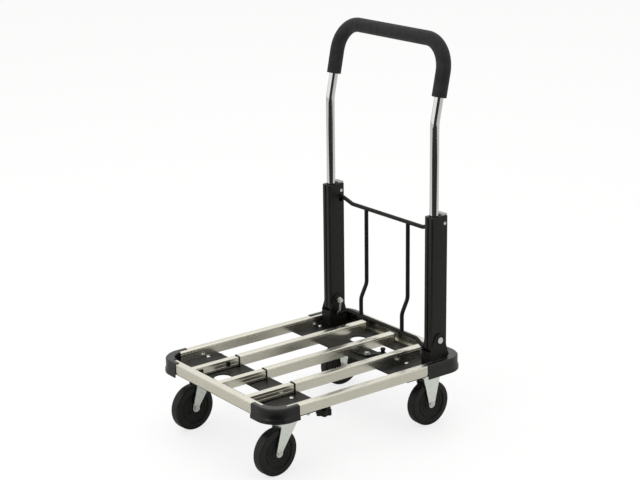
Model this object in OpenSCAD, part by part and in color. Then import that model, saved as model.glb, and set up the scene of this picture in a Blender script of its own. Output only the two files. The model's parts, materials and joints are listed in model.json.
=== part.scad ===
// Folding platform cart. A sliding front half pulls out of a fixed rear half, a telescopic
// push handle folds down over the deck, two casters swivel and two run straight.
// X runs from the nose towards the push handle, Y across the deck, Z up from the floor.

/* [Deck] */
// Length of the closed deck over its crossbars
deck_len = 513.5; // [425:0.5:620]
// Width of the deck over its side rails
deck_w = 415; // [345:1:500]
// Width of each rail
rail_w = 18; // [15:0.1:22]
// Height of each rail
rail_h = 22; // [18:0.1:27]
// Wall of the hollow rails
rail_wall = 1.5; // [1.2:0.05:1.8]
// Radius of the rounded upper edges of a rail
rail_round = 3; // [1:0.1:4]
// Gap between pieces that slide past each other
slide_gap = 0.3; // [0.2:0.01:0.4]
// Distance from the deck's nose to the fixed deck rails' mouths
mouth_set = 133.5; // [110:0.5:161]
// Thickness of the plates under the deck
plate_t = 3; // [2:0.1:4]
// Length of each plate along the deck
plate_len = 144; // [138:0.5:173]

/* [Bumpers] */
// Outer radius of the deck's corners
corner_r = 46; // [38:0.5:56]
// Length of a nose bumper along each side of its corner
bumper_leg = 69; // [57:0.5:83]
// Length of a tail bumper along the side rail
tail_leg = 107; // [89:0.5:129]
// How far a bumper stands proud of the metal
bumper_proud = 1.5; // [1:0.1:2]
// How far the bumper's skirt flares past the metal
skirt_flare = 3.5; // [2.5:0.1:5]
// How far the skirt hangs below the metal
skirt_drop = 8; // [6:0.1:10]

/* [Casters] */
// Diameter of the wheels
wheel_d = 100; // [83:0.5:120]
// Width of the wheels
wheel_w = 22; // [18:0.1:27]
// Gap between a swivel wheel's top and the crown of its fork
crown_gap = 23; // [19:0.5:40]
// Distance from the deck's nose to the swivel axes
swivel_set = 74.5; // [62:0.5:90]
// Distance from the swivel axis back to the axle
trail = 30; // [20:0.5:36]
// Turn of the swivel casters as the cart stands
swivel_turn = 5; // [0:0.5:12]
// Hole spacing of a caster plate along the deck
bolt_dx = 72; // [62:0.5:87]
// Distance from a deck rail's flank to the casters' inner bolts
bolt_in_set = 15.5; // [12:0.5:20]
// Distance from a side rail's flank to the casters' outer bolts
bolt_out_set = 9.5; // [8:0.5:12]
// Diameter of the caster bolts
bolt_d = 6; // [5:0.1:7.2]
// Diameter of the axles
axle_d = 8; // [6:0.1:9.6]

/* [Push handle] */
// Height of the fold pivot above the deck
pivot_rise = 41; // [38:0.5:50]
// Gap between a hinge bracket and its side rail
bracket_gap = 1.2; // [0.5:0.1:3]
// Outer diameter of the telescopic tube
tube_d = 19; // [15.8:0.1:22.8]
// Wall of the telescopic tube
tube_wall = 1.2; // [1:0.05:2]
// How far the tube telescopes
tube_travel = 185; // [154:0.5:222]
// Length of tube that stays in an upright when the handle is pulled out
tube_overlap = 75; // [62:0.5:90]
// Height of the tube's bend above the uprights with the handle pushed in
bend_clear = 10.5; // [8:0.5:20]
// Height of the tube's crossing above its bend, centre lines
lean_rise = 164.5; // [137:0.5:198]
// Lean of the tube's upper part
lean = 11.5; // [0:0.5:15]
// Radius of the tube's corners, centre line
tube_corner = 62; // [51:0.5:75]
// Outer diameter of the foam grip
grip_d = 31; // [26:0.1:37.2]
// Distance along each leg from the bend to the grip
grip_start = 55; // [46:0.5:66]
// Diameter of the guard's rods
rod_d = 9; // [7.5:0.1:10.8]
// How far the guard is pressed down to let the handle fold
guard_press = 6; // [3:0.1:7.2]

/* [Locks] */
// Diameter of the clamp knobs over their lobes
knob_d = 34; // [28:0.5:41]
// Distance from the deck's nose to the clamp knobs
knob_set = 139.5; // [136:0.5:146]
// Radius of the deck lock's grip knob
lock_knob_r = 5.5; // [4:0.1:6.6]

/* [Hidden] */

LEFT = 1;
RIGHT = -1;
SIDES = [LEFT, RIGHT];
ENDS = [-1, 1];
fine = 96;              // facets of round shapes
coarse = 16;            // facets of small grooves
fit = 0.05;             // radial clearance of pins, shafts and sliding tubes
eps = 0.01;             // overlap that keeps cut and joined faces apart
overshoot = 1;          // how far a drill or cutter runs past its wall
knuckle_proud = 0.05;   // how far a rod's knuckle stands proud of it

// Fasteners, sized from the caster bolts
head_r = bolt_d / 2 + 1.8;
head_h = 3;
head_dome_r = 7;
nut_cap_r = bolt_d / 2 + 1.6;
nut_hex_r = bolt_d / 2 + 2.6;
washer_r = bolt_d / 2 + 3;
head_room = 0.2;        // gap between a bolt head and a bar beside it

// Places along the deck; the whole cart is centred over the origin
tread_round = 3;
swivel_reach = (wheel_d / 2 - tread_round) * cos(swivel_turn)
    + (wheel_w / 2 - tread_round) * sin(swivel_turn) + tread_round;
nose_overhang = max(swivel_reach - (swivel_set - trail * cos(swivel_turn)), skirt_flare);
nose_x = (nose_overhang - deck_len - skirt_flare) / 2;
tail_x = nose_x + deck_len;
swivel_x = nose_x + swivel_set;
fixed_x = tail_x - rail_w - head_room - head_r - bolt_dx / 2;
mouth_x = nose_x + mouth_set;
ring_t = 2;
rail_tail_x = tail_x - rail_w - 14;
cap_t = 2;
plug_len = 6;
tail_clear = 4;         // what a slide stops short of at its inner end
bar_tail_x = rail_tail_x - plug_len - tail_clear;
corner_x_nose = nose_x + corner_r;
corner_x_tail = tail_x - corner_r;
side_bar_tail_x = corner_x_tail - tail_clear;
front_plate_tail = nose_x + plate_len;
rear_plate_nose = tail_x - rail_w - plate_len;

// Casters; each sits on the floor
axle_z = wheel_d / 2;
caster_plate_t = 2.5;
race_r = 25;
race_h = 8;
fork_t = 2.2;
fork_gap = 1.8;         // gap between a wheel's hub and its fork
fork_half = 22;         // half the width of a swivel fork at its crown
leg_in = wheel_w / 2 + fork_gap;
leg_out = leg_in + fork_t;
leg_tip_r = 8.5;
kingpin_r = 5;
kingpin_head_r = 8;
kingpin_head_h = 4;
bush_r = 7;

// Levels, built up from the wheels
fork_top = wheel_d + crown_gap + fork_t;
race_low = fork_top + slide_gap;
front_plate_low = race_low + race_h + caster_plate_t;
slide_base = front_plate_low + plate_t;    // under the sliding half's metal
deck_top = slide_base + rail_h;
fixed_base = slide_base + slide_gap;       // under the fixed half's metal
rear_plate_low = fixed_base - plate_t;

// Rails and the bars that slide in them
cavity_w = rail_w - 2 * rail_wall;
cavity_h = rail_h - 2 * rail_wall;
bar_w = cavity_w - 2 * slide_gap;
bar_h = cavity_h - 2 * slide_gap;
bar_wall = 2.2;
bar_base = fixed_base + rail_wall + slide_gap;
bar_groove = 1;
flank_line_r = 0.6;
flank_line_drop = 5.5;
side_y = deck_w / 2 - rail_w / 2;
rail_pitch = side_y / 2;
rails_y = [rail_pitch, 0, -rail_pitch];
crossbar_wall = 2;
crossbar_chamfer = 1.5;
catch_size = 11;
catch_rise = 3.5;
catch_x = [nose_x + 34, mouth_x - 29.5];

// Caster bolts stand between a deck rail and the side rail
bolt_in_y = rail_pitch + rail_w / 2 + bolt_in_set;
bolt_out_y = deck_w / 2 - rail_w - bolt_out_set;
bolt_dy = bolt_out_y - bolt_in_y;
caster_y = (bolt_in_y + bolt_out_y) / 2;
caster_plate_x = bolt_dx + 24;
caster_plate_y = bolt_dy + 20;
caster_bolt_len = plate_t + caster_plate_t + 9;

// Plates
corner_y = deck_w / 2 - corner_r;
plate_inset = 2.5;
plate_edge_y = deck_w / 2 - plate_inset;
window_w = 39;
window_len = 160;
front_window_x = front_plate_tail - 57 - window_w / 2;
rear_window_x = rear_plate_nose + 64 + window_w / 2;
slot_len = 42;
slot_w = 3;
slot_y = rail_pitch + rail_w / 2 + 4;

// Uprights, wrapped round the tube's bore and a rear chamber
tube_r = tube_d / 2;
tube_in_r = tube_r - tube_wall;
bore_r = tube_r + 1;
upright_side = 2;       // side walls beside the bore
upright_front = 5.5;    // metal in front of the bore
upright_web = 1.7;      // metal between bore and chamber
upright_back = 2;       // rear wall
chamber_len = 11.8;
upright_w = 2 * (bore_r + upright_side);
upright_d = upright_front + 2 * bore_r + upright_web + chamber_len + upright_back;
upright_round = 4;
chamber_w = upright_w - 5;
pivot_x = fixed_x + 1;
upright_x = pivot_x - 0.5;
front_face = upright_x - upright_d / 2;
back_face = upright_x + upright_d / 2;
tube_x = front_face + upright_front + bore_r;
chamber_front = tube_x + bore_r + upright_web;

// Hinge brackets
bracket_t = 2.5;
ear_gap = 0.3;
ear_in = upright_w / 2 + ear_gap;
ear_out = ear_in + bracket_t;
ear_r = 14.5;
upright_y = deck_w / 2 - rail_w - bracket_gap - ear_out;
pivot_r = 5;
pivot_nut_t = 5;
stub_r = 3;
bracket_front = front_face - 3;
bracket_back = back_face + 2.5;
base_bolt_dx = 28;

// Heights of the push handle
pivot_z = deck_top + pivot_rise;
upright_low = pivot_z - 19.5;
foot_h = 4;             // foot of a tube plug
tube_down_z = pivot_z + pivot_r + 2 + foot_h;    // tube's end with the handle pushed in
tube_low = tube_down_z + tube_travel;
upright_top = tube_low + tube_overlap;
bend_z = upright_top + tube_travel + bend_clear;
lean_len = lean_rise / cos(lean);
legs_len = lean_len - tube_corner;
cross_y = upright_y - tube_corner;

// Height lock levers, in the uprights' rear chambers
pin_x = chamber_front + 6;
pin_z = upright_top - 16;
pin_r = 2;
lever_low = pin_z - 8;
lever_half = 9;
lever_nose_z = pin_z - 6;
lever_hole_r = 3.5;
lever_spring_half = 2.7;

// Guard
rod_r = rod_d / 2;
slot_r = rod_r + 0.3;
slot_spare = 2;
guard_x = chamber_front + rod_r + 0.5;
guard_low_x = pivot_x - 4.5;
guard_end_z = lever_low - 1 - rod_r;
guard_mid_z = guard_end_z - 9.5;
guard_bend_y = upright_y - 55;
guard_rod_y = 70;
guard_foot_z = pivot_z - 14;
guard_hook_z = pivot_z - 30;
hook_y = upright_y - ear_out - 8;

// Deck lock and clamp knobs
lock_x = rear_plate_nose + 33;
lock_y = -32;
lock_bolt_r = 4;
lock_base = fixed_base + slide_gap;
lock_t = 2.5;
lock_arm = [33, -14];
lock_nose = [-10, 17];
knob_x = nose_x + knob_set;
stud_y = side_y - 5;

// ---------- shared shapes ----------

// A prism that runs along X from x0 to x1; its outline is drawn in Y and Z
module along_x(x0, x1) {
    translate([x0, 0, 0]) rotate([90, 0, 90]) linear_extrude(x1 - x0) children();
}

// A prism that runs along Y from y0 to y1; its outline is drawn in X and Z
module along_y(y0, y1) {
    translate([0, y1, 0]) rotate([90, 0, 0]) linear_extrude(y1 - y0) children();
}

// A round rod between two points
module rod(a, b, r) {
    v = b - a;
    translate(a) rotate([0, acos(v[2] / norm(v)), atan2(v[1], v[0])])
        cylinder(r = r, h = norm(v), $fn = fine);
}

// A round rod through a list of points, with a knuckle at each bend
module rod_path(points, r) {
    for (i = [0 : len(points) - 2]) rod(points[i], points[i + 1], r);
    for (i = [1 : len(points) - 2]) translate(points[i])
        sphere(r = r + knuckle_proud, $fn = fine);
}

// A cylinder that runs along Y and is centred on y
module pin_y(x, y, z, r, len) {
    translate([x, y + len / 2, z]) rotate([90, 0, 0]) cylinder(r = r, h = len, $fn = fine);
}

// Outline of a rail with rounded upper edges, standing on zero
module rail_outline(w, h, round) {
    union() {
        translate([-w / 2, 0]) square([w, h - round]);
        translate([-w / 2 + round, 0]) square([w - 2 * round, h]);
        for (s = SIDES) translate([s * (w / 2 - round), h - round]) circle(r = round, $fn = fine);
    }
}

// Hollow rail section with a shadow line pressed into each flank
module hollow_rail() {
    difference() {
        rail_outline(rail_w, rail_h, rail_round);
        translate([-cavity_w / 2, rail_wall]) square([cavity_w, cavity_h]);
        for (s = SIDES) translate([s * rail_w / 2, rail_h - flank_line_drop])
            circle(r = flank_line_r, $fn = coarse);
    }
}

// Section of the bars that slide inside the rails, with two grooves on each flank
module slide_section() {
    g = bar_groove;
    difference() {
        translate([-bar_w / 2, 0]) square([bar_w, bar_h]);
        translate([-bar_w / 2 + bar_wall, bar_wall]) square([bar_w - 2 * bar_wall, bar_h - 2 * bar_wall]);
        for (s = SIDES, k = [0.3, 0.72])
            translate([s * bar_w / 2 - g, bar_h * k - g]) square([2 * g, 2 * g]);
    }
}

// A dome-headed bolt that points down from its seat
module dome_bolt(len) {
    union() {
        translate([0, 0, -len]) cylinder(d = bolt_d, h = len, $fn = fine);
        intersection() {
            cylinder(r = head_r, h = head_h, $fn = fine);
            translate([0, 0, head_h - head_dome_r]) sphere(r = head_dome_r, $fn = fine);
        }
    }
}

// A cap nut with a washer face, hanging down from its seat
module cap_nut() {
    washer_t = 1.5;
    hex_h = 5.5;
    cap_z = washer_t + hex_h + 2;
    difference() {
        union() {
            translate([0, 0, -washer_t]) cylinder(r = washer_r, h = washer_t, $fn = fine);
            translate([0, 0, -washer_t - hex_h]) cylinder(r = nut_hex_r, h = hex_h, $fn = 6);
            translate([0, 0, -cap_z]) cylinder(r = nut_cap_r, h = cap_z - washer_t, $fn = fine);
            translate([0, 0, -cap_z]) sphere(r = nut_cap_r, $fn = fine);
        }
        translate([0, 0, -cap_z - overshoot]) cylinder(d = bolt_d, h = cap_z + overshoot + eps, $fn = fine);
    }
}

// The four bolt places of a caster
module caster_bolt_places(x) {
    for (s = SIDES, i = ENDS, y = [bolt_in_y, bolt_out_y])
        translate([x + i * bolt_dx / 2, s * y, 0]) children();
}

// Turns its children about a swivel caster's axis as the cart stands
module at_swivel(side) {
    translate([swivel_x, side * caster_y, 0]) rotate([0, 0, swivel_turn]) children();
}

// ---------- fixed half ----------

module side_rail(side) {
    color("silver") difference() {
        translate([0, side * side_y, fixed_base])
            along_x(corner_x_nose + slide_gap, corner_x_tail) hollow_rail();
        translate([knob_x, side * stud_y, fixed_base - overshoot])
            cylinder(r = stub_r + fit, h = overshoot + rail_wall + slide_gap, $fn = fine);
    }
}

module side_rail_left() { side_rail(LEFT); }

module side_rail_right() { side_rail(RIGHT); }

module deck_rails() {
    color("silver") for (y = rails_y)
        translate([0, y, fixed_base]) along_x(mouth_x, rail_tail_x) hollow_rail();
}

module rail_end_caps() {
    color("black") for (y = rails_y) translate([0, y, fixed_base]) union() {
        along_x(rail_tail_x, rail_tail_x + cap_t) rail_outline(rail_w, rail_h, rail_round);
        along_x(rail_tail_x - plug_len, rail_tail_x)
            translate([-cavity_w / 2, rail_wall]) square([cavity_w, cavity_h]);
    }
}

module mouth_rings() {
    color("black") for (y = rails_y) translate([0, y, fixed_base])
        along_x(mouth_x - ring_t, mouth_x) difference() {
            rail_outline(rail_w, rail_h, rail_round);
            translate([-cavity_w / 2, rail_wall]) square([cavity_w, cavity_h]);
        }
}

// Hollow bar across the deck; end is 1 at the tail and -1 at the nose, and x = 0 is its outer face
module crossbar(end) {
    c = crossbar_chamfer;
    wall = crossbar_wall;
    along_y(-corner_y, corner_y) difference() {
        polygon([
            [0, 0], [0, rail_h - c], [-end * c, rail_h], [-end * (rail_w - c), rail_h],
            [-end * rail_w, rail_h - c], [-end * rail_w, 0]
        ]);
        translate([end > 0 ? -rail_w + wall : wall, wall]) square([rail_w - 2 * wall, rail_h - 2 * wall]);
        translate([0, rail_h - flank_line_drop]) circle(r = flank_line_r, $fn = coarse);
    }
}

module rear_crossbar() {
    lip = 6;
    lip_t = 1.8;
    color("silver") union() {
        translate([tail_x, 0, fixed_base]) crossbar(1);
        translate([tail_x - rail_w - lip, -rail_pitch, fixed_base]) cube([lip, 2 * rail_pitch, lip_t]);
    }
}

// Section of a bumper at its corner; u grows outwards from the metal's inner face
module bumper_section(u0) {
    u1 = rail_w;
    p = bumper_proud;
    f = skirt_flare;
    translate([u0, 0]) polygon([
        [0, 0], [0, rail_h], [1, rail_h + p], [u1 - 1, rail_h + p], [u1 + p, rail_h - 1],
        [u1 + p, 3], [u1 + f, -1], [u1 + f, -skirt_drop], [u1 + 1, -skirt_drop], [u1 + 1, -3], [u1 - 1, 0]
    ]);
}

// Section of a bumper's leg, a hook over the metal's upper outer edge with its skirt below
module leg_section(u0) {
    u1 = rail_w;
    p = bumper_proud;
    f = skirt_flare;
    lap = rail_w / 2;
    translate([u0, 0]) polygon([
        [u1 - lap, rail_h], [u1 - lap, rail_h + p], [u1 - 1, rail_h + p], [u1 + p, rail_h - 1],
        [u1 + p, 3], [u1 + f, -1], [u1 + f, -skirt_drop], [u1 + 1, -skirt_drop],
        [u1 + 1, -3], [u1, 0], [u1, rail_h]
    ]);
}

// A bumper with its corner's centre on the origin, for the corner at -X and -Y
module corner_bumper(leg_x, leg_y) {
    u0 = corner_r - rail_w;
    union() {
        rotate([0, 0, 180]) rotate_extrude(angle = 90, $fn = fine) bumper_section(u0);
        // leg along the side, towards +X
        rotate([90, 0, 90]) linear_extrude(leg_x - corner_r) mirror([1, 0]) leg_section(u0);
        // leg along the end, towards +Y
        rotate([90, 0, 0]) mirror([0, 0, 1]) linear_extrude(leg_y - corner_r)
            mirror([1, 0]) leg_section(u0);
    }
}

module front_bumper(side) {
    color("black") difference() {
        translate([corner_x_nose, side * corner_y, slide_base])
            mirror([0, side > 0 ? 1 : 0, 0]) corner_bumper(bumper_leg, bumper_leg);
        // room for the fixed side rail, which noses into the bumper's leg
        translate([corner_x_nose + eps, side * side_y - rail_w / 2 - slide_gap, slide_base - slide_gap])
            cube([bumper_leg, rail_w + 2 * slide_gap, rail_h + 3 * slide_gap]);
    }
}

module rear_bumper(side) {
    bracket_edge = ear_out + slide_gap;
    color("black") difference() {
        translate([corner_x_tail, side * corner_y, fixed_base])
            mirror([0, side > 0 ? 1 : 0, 0]) mirror([1, 0, 0]) corner_bumper(tail_leg, bumper_leg);
        // pockets for the head of the outer caster bolt and for the foot of the hinge bracket
        translate([fixed_x + bolt_dx / 2, side * bolt_out_y, fixed_base - overshoot])
            cylinder(r = head_r + slide_gap, h = head_h + slide_gap + overshoot, $fn = fine);
        translate([corner_x_tail - overshoot, side * upright_y - bracket_edge, fixed_base - overshoot])
            cube([bracket_back + slide_gap - corner_x_tail + overshoot, 2 * bracket_edge, 2 * rail_h]);
    }
}

module front_bumper_left() { front_bumper(LEFT); }

module front_bumper_right() { front_bumper(RIGHT); }

module rear_bumper_left() { rear_bumper(LEFT); }

module rear_bumper_right() { rear_bumper(RIGHT); }

// A stadium-shaped window across the deck
module window(x) {
    r = window_w / 2;
    for (s = SIDES) translate([x, s * (window_len / 2 - r)]) circle(r = r, $fn = fine);
    translate([x - r, -window_len / 2 + r]) square([window_w, window_len - 2 * r]);
}

// Outline of a plate from its square end at x = 0 to its rounded end at x = len
module plate_outline(len, edge_y) {
    r = corner_r - plate_inset;
    square_len = len - r;
    translate([0, -edge_y]) square([square_len, 2 * edge_y]);
    translate([square_len - eps, -edge_y + r]) square([r + eps, 2 * (edge_y - r)]);
    for (s = SIDES) translate([square_len, s * (edge_y - r)]) circle(r = r, $fn = fine);
}

module bolt_holes_2d(x) {
    for (s = SIDES, i = ENDS, y = [bolt_in_y, bolt_out_y])
        translate([x + i * bolt_dx / 2, s * y]) circle(d = bolt_d, $fn = fine);
}

module rear_plate() {
    color("dimgray") translate([0, 0, rear_plate_low]) linear_extrude(plate_t) difference() {
        translate([rear_plate_nose, 0])
            plate_outline(tail_x - plate_inset - rear_plate_nose, plate_edge_y);
        window(rear_window_x);
        bolt_holes_2d(fixed_x);
        for (s = SIDES) translate([rear_window_x - slot_len / 2, s * slot_y - slot_w / 2])
            square([slot_len, slot_w]);
        for (s = SIDES, i = ENDS)
            translate([upright_x + i * base_bolt_dx / 2, s * upright_y]) circle(d = bolt_d, $fn = fine);
        translate([lock_x, lock_y]) circle(r = lock_bolt_r, $fn = fine);
    }
}

module front_plate() {
    notch_x = knob_x - knob_d / 2 - 10.5;
    notch_w = rail_w;
    color("dimgray") translate([0, 0, front_plate_low]) linear_extrude(plate_t) difference() {
        translate([front_plate_tail, 0]) mirror([1, 0])
            plate_outline(plate_len - plate_inset, plate_edge_y);
        window(front_window_x);
        bolt_holes_2d(swivel_x);
        // the edges step in beside the clamp knobs' studs
        for (s = SIDES) translate([notch_x, s * side_y - notch_w / 2])
            square([front_plate_tail - notch_x + overshoot, notch_w]);
    }
}

module hinge_bracket(side) {
    front_top = pivot_z - (pivot_x - front_face) - 2.5;
    back_top = pivot_z - 37;
    shoulder = ear_r * 0.97;
    len = bracket_back - bracket_front;
    outer = 2 * ear_out;
    color("black") translate([0, side * upright_y, 0]) difference() {
        union() {
            for (s = SIDES) along_y(s * (ear_in + bracket_t / 2) - bracket_t / 2,
                                    s * (ear_in + bracket_t / 2) + bracket_t / 2) {
                polygon([
                    [bracket_front, fixed_base], [bracket_back, fixed_base], [bracket_back, pivot_z - 30],
                    [pivot_x + shoulder, pivot_z + 3.5], [pivot_x - shoulder, pivot_z + 3.5],
                    [bracket_front, front_top]
                ]);
                translate([pivot_x, pivot_z]) circle(r = ear_r, $fn = fine);
            }
            translate([bracket_front, -ear_out, fixed_base]) cube([len, outer, bracket_t]);
            translate([bracket_front, -ear_out, fixed_base])
                cube([bracket_t, outer, front_top - fixed_base]);
            translate([bracket_back - bracket_t, -ear_out, fixed_base])
                cube([bracket_t, outer, back_top - fixed_base]);
        }
        pin_y(pivot_x, 0, pivot_z, pivot_r, outer + 2 * overshoot);
        for (i = ENDS) translate([upright_x + i * base_bolt_dx / 2, 0, fixed_base - overshoot])
            cylinder(d = bolt_d, h = bracket_t + 2 * overshoot, $fn = fine);
    }
}

module hinge_bracket_left() { hinge_bracket(LEFT); }

module hinge_bracket_right() { hinge_bracket(RIGHT); }

module bracket_bolts() {
    shank = bracket_t + plate_t;
    color("silver") for (s = SIDES, i = ENDS)
        translate([upright_x + i * base_bolt_dx / 2, s * upright_y, fixed_base + bracket_t])
            dome_bolt(shank);
}

// The fold pivots; each has a nut and a necked stub on its inner end for the guard's spring
module pivot_bolts() {
    head_t = 3;
    stub_len = 6;
    flange_t = 1;
    color("silver") for (s = SIDES) {
        outer_y = s * (upright_y + ear_out);
        inner_y = s * (upright_y - ear_out);
        stub_y = inner_y - s * pivot_nut_t;
        union() {
            pin_y(pivot_x, s * upright_y, pivot_z, pivot_r, 2 * ear_out);
            pin_y(pivot_x, outer_y + s * head_t / 2, pivot_z, pivot_r + 2, head_t);
            pin_y(pivot_x, inner_y - s * pivot_nut_t / 2, pivot_z, pivot_r + 1.5, pivot_nut_t);
            pin_y(pivot_x, stub_y - s * stub_len / 2, pivot_z, stub_r, stub_len);
            pin_y(pivot_x, stub_y - s * (stub_len + flange_t / 2), pivot_z, stub_r + 1.5, flange_t);
        }
    }
}

// One flank of a caster fork: a V that narrows to the axle, drawn in X and Z
module fork_leg_outline(top_z, half, axle_x) {
    straight = 12;
    shoulder = leg_tip_r * 0.97;
    union() {
        polygon([
            [-half, top_z], [half, top_z], [half, top_z - straight],
            [axle_x + shoulder, axle_z + 2], [axle_x - shoulder, axle_z + 2], [-half, top_z - straight]
        ]);
        translate([axle_x, axle_z]) circle(r = leg_tip_r, $fn = fine);
    }
}

module fork_legs(top_z, half, axle_x) {
    for (s = SIDES) along_y(s * (leg_in + fork_t / 2) - fork_t / 2, s * (leg_in + fork_t / 2) + fork_t / 2)
        difference() {
            fork_leg_outline(top_z, half, axle_x);
            translate([axle_x, axle_z]) circle(d = axle_d, $fn = fine);
        }
}

// A caster plate, centred, with its four bolt holes; its top is at zero
module caster_plate() {
    r = 6;
    translate([0, 0, -caster_plate_t]) linear_extrude(caster_plate_t) difference() {
        union() {
            square([caster_plate_x, caster_plate_y - 2 * r], center = true);
            square([caster_plate_x - 2 * r, caster_plate_y], center = true);
            for (i = ENDS, j = ENDS)
                translate([i * (caster_plate_x / 2 - r), j * (caster_plate_y / 2 - r)])
                    circle(r = r, $fn = fine);
        }
        for (i = ENDS, j = ENDS)
            translate([i * bolt_dx / 2, j * bolt_dy / 2]) circle(d = bolt_d, $fn = fine);
    }
}

module rear_fork(side) {
    color("lightgray") translate([fixed_x, side * caster_y, 0]) union() {
        translate([0, 0, rear_plate_low]) caster_plate();
        fork_legs(rear_plate_low - caster_plate_t, race_r, 0);
    }
}

module rear_fork_left() { rear_fork(LEFT); }

module rear_fork_right() { rear_fork(RIGHT); }

// An axle bolt with its nut, centred on the origin and running along Y
module axle() {
    axle_head_t = 2.6;
    axle_nut_t = 4;
    union() {
        pin_y(0, 0, 0, axle_d / 2, 2 * leg_out);
        pin_y(0, -leg_out - axle_head_t / 2, 0, axle_d / 2 + 2, axle_head_t);
        translate([0, leg_out + axle_nut_t, 0]) rotate([90, 0, 0])
            cylinder(r = axle_d / 2 + 2.5, h = axle_nut_t, $fn = 6);
    }
}

module rear_axles() {
    color("silver") for (s = SIDES) translate([fixed_x, s * caster_y, axle_z])
        mirror([0, s > 0 ? 1 : 0, 0]) axle();
}

module rear_caster_bolts() {
    color("silver") caster_bolt_places(fixed_x) translate([0, 0, fixed_base]) dome_bolt(caster_bolt_len);
}

module rear_caster_nuts() {
    color("silver") caster_bolt_places(fixed_x) translate([0, 0, rear_plate_low - caster_plate_t]) cap_nut();
}

// ---------- deck lock ----------

module lock_fixings() {
    washer_t = 1;
    head = lock_base + lock_t + slide_gap;
    color("silver") translate([lock_x, lock_y, 0]) union() {
        translate([0, 0, rear_plate_low]) cylinder(r = lock_bolt_r, h = head - rear_plate_low, $fn = fine);
        translate([0, 0, head]) cylinder(r = lock_bolt_r + 3, h = washer_t, $fn = fine);
        translate([0, 0, head + washer_t]) cylinder(r = lock_bolt_r + 1.5, h = head_h, $fn = fine);
    }
}

module lock_lever() {
    boss_r = 10;
    arm_r = 7;
    nose_r = 3.5;
    color("dimgray") translate([lock_x, lock_y, lock_base]) linear_extrude(lock_t) difference() {
        union() {
            circle(r = boss_r, $fn = fine);
            hull() {
                circle(r = arm_r, $fn = 32);
                translate(lock_arm) circle(r = arm_r, $fn = 32);
            }
            hull() {
                circle(r = arm_r, $fn = 32);
                translate(lock_nose) circle(r = nose_r, $fn = 32);
            }
        }
        circle(r = lock_bolt_r + fit, $fn = fine);
    }
}

module lock_knob() {
    body_h = 10;
    edge = 1;
    color("black") translate([lock_x + lock_arm[0], lock_y + lock_arm[1], lock_base + lock_t]) union() {
        cylinder(r = lock_knob_r, h = body_h, $fn = fine);
        translate([0, 0, body_h]) cylinder(r1 = lock_knob_r, r2 = lock_knob_r - edge, h = edge, $fn = fine);
    }
}

// ---------- sliding half ----------

module front_crossbar() {
    color("silver") translate([nose_x, 0, slide_base]) crossbar(-1);
}

module slide_rails() {
    color("silver") difference() {
        for (y = rails_y) translate([0, y, bar_base]) along_x(nose_x + rail_w, bar_tail_x) slide_section();
        for (x = catch_x)
            translate([x - catch_size / 2, rail_pitch - bar_w / 2 - overshoot, bar_base + catch_rise])
                cube([catch_size, bar_w / 2 + overshoot, catch_size]);
    }
}

module catch_blocks() {
    recess = 0.5;
    stud = 2.8;
    color("black") for (x = catch_x) union() {
        translate([x - catch_size / 2, rail_pitch - bar_w / 2 + recess, bar_base + catch_rise])
            cube([catch_size, bar_w / 2 - recess, catch_size]);
        pin_y(x, rail_pitch - bar_w / 2 + recess, bar_base + catch_rise + catch_size / 2, stud, 1);
    }
}

module side_slides() {
    color("silver") for (s = SIDES) translate([0, s * side_y, bar_base])
        along_x(corner_x_nose, side_bar_tail_x) slide_section();
}

module rail_spacers() {
    spacer_len = 24;
    color("gray") for (y = rails_y)
        translate([nose_x + rail_w + 2, y - bar_w / 2, slide_base])
            cube([spacer_len, bar_w, bar_base - slide_base]);
}

module front_caster_plates() {
    color("lightgray") for (s = SIDES) translate([swivel_x, s * caster_y, front_plate_low]) difference() {
        union() {
            caster_plate();
            translate([0, 0, -caster_plate_t - race_h])
                cylinder(r1 = race_r - 4, r2 = race_r, h = race_h, $fn = fine);
        }
        translate([0, 0, -caster_plate_t - race_h - overshoot])
            cylinder(r = kingpin_r, h = caster_plate_t + race_h + 2 * overshoot, $fn = fine);
    }
}

module front_kingpins() {
    low = fork_top - fork_t - slide_gap - kingpin_head_h;
    color("silver") for (s = SIDES) translate([swivel_x, s * caster_y, 0]) union() {
        translate([0, 0, low]) cylinder(r = kingpin_head_r, h = kingpin_head_h, $fn = fine);
        translate([0, 0, low]) cylinder(r = kingpin_r, h = front_plate_low - low, $fn = fine);
    }
}

module front_caster_bolts() {
    color("silver") caster_bolt_places(swivel_x) translate([0, 0, slide_base]) dome_bolt(caster_bolt_len);
}

module front_caster_nuts() {
    color("silver") caster_bolt_places(swivel_x)
        translate([0, 0, front_plate_low - caster_plate_t]) cap_nut();
}

module front_fork(side) {
    color("lightgray") at_swivel(side) union() {
        difference() {
            translate([0, 0, fork_top - fork_t]) union() {
                cylinder(r = race_r - 1, h = fork_t, $fn = fine);
                translate([-fork_half, -leg_out, 0]) cube([2 * fork_half, 2 * leg_out, fork_t]);
            }
            translate([0, 0, fork_top - fork_t - overshoot])
                cylinder(r = kingpin_r + fit, h = fork_t + 2 * overshoot, $fn = fine);
        }
        fork_legs(fork_top - fork_t, fork_half, -trail);
    }
}

module front_fork_left() { front_fork(LEFT); }

module front_fork_right() { front_fork(RIGHT); }

module front_axle(side) {
    color("silver") at_front_axle(side) mirror([0, side > 0 ? 1 : 0, 0]) axle();
}

module front_axle_left() { front_axle(LEFT); }

module front_axle_right() { front_axle(RIGHT); }

// ---------- wheels ----------

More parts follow.
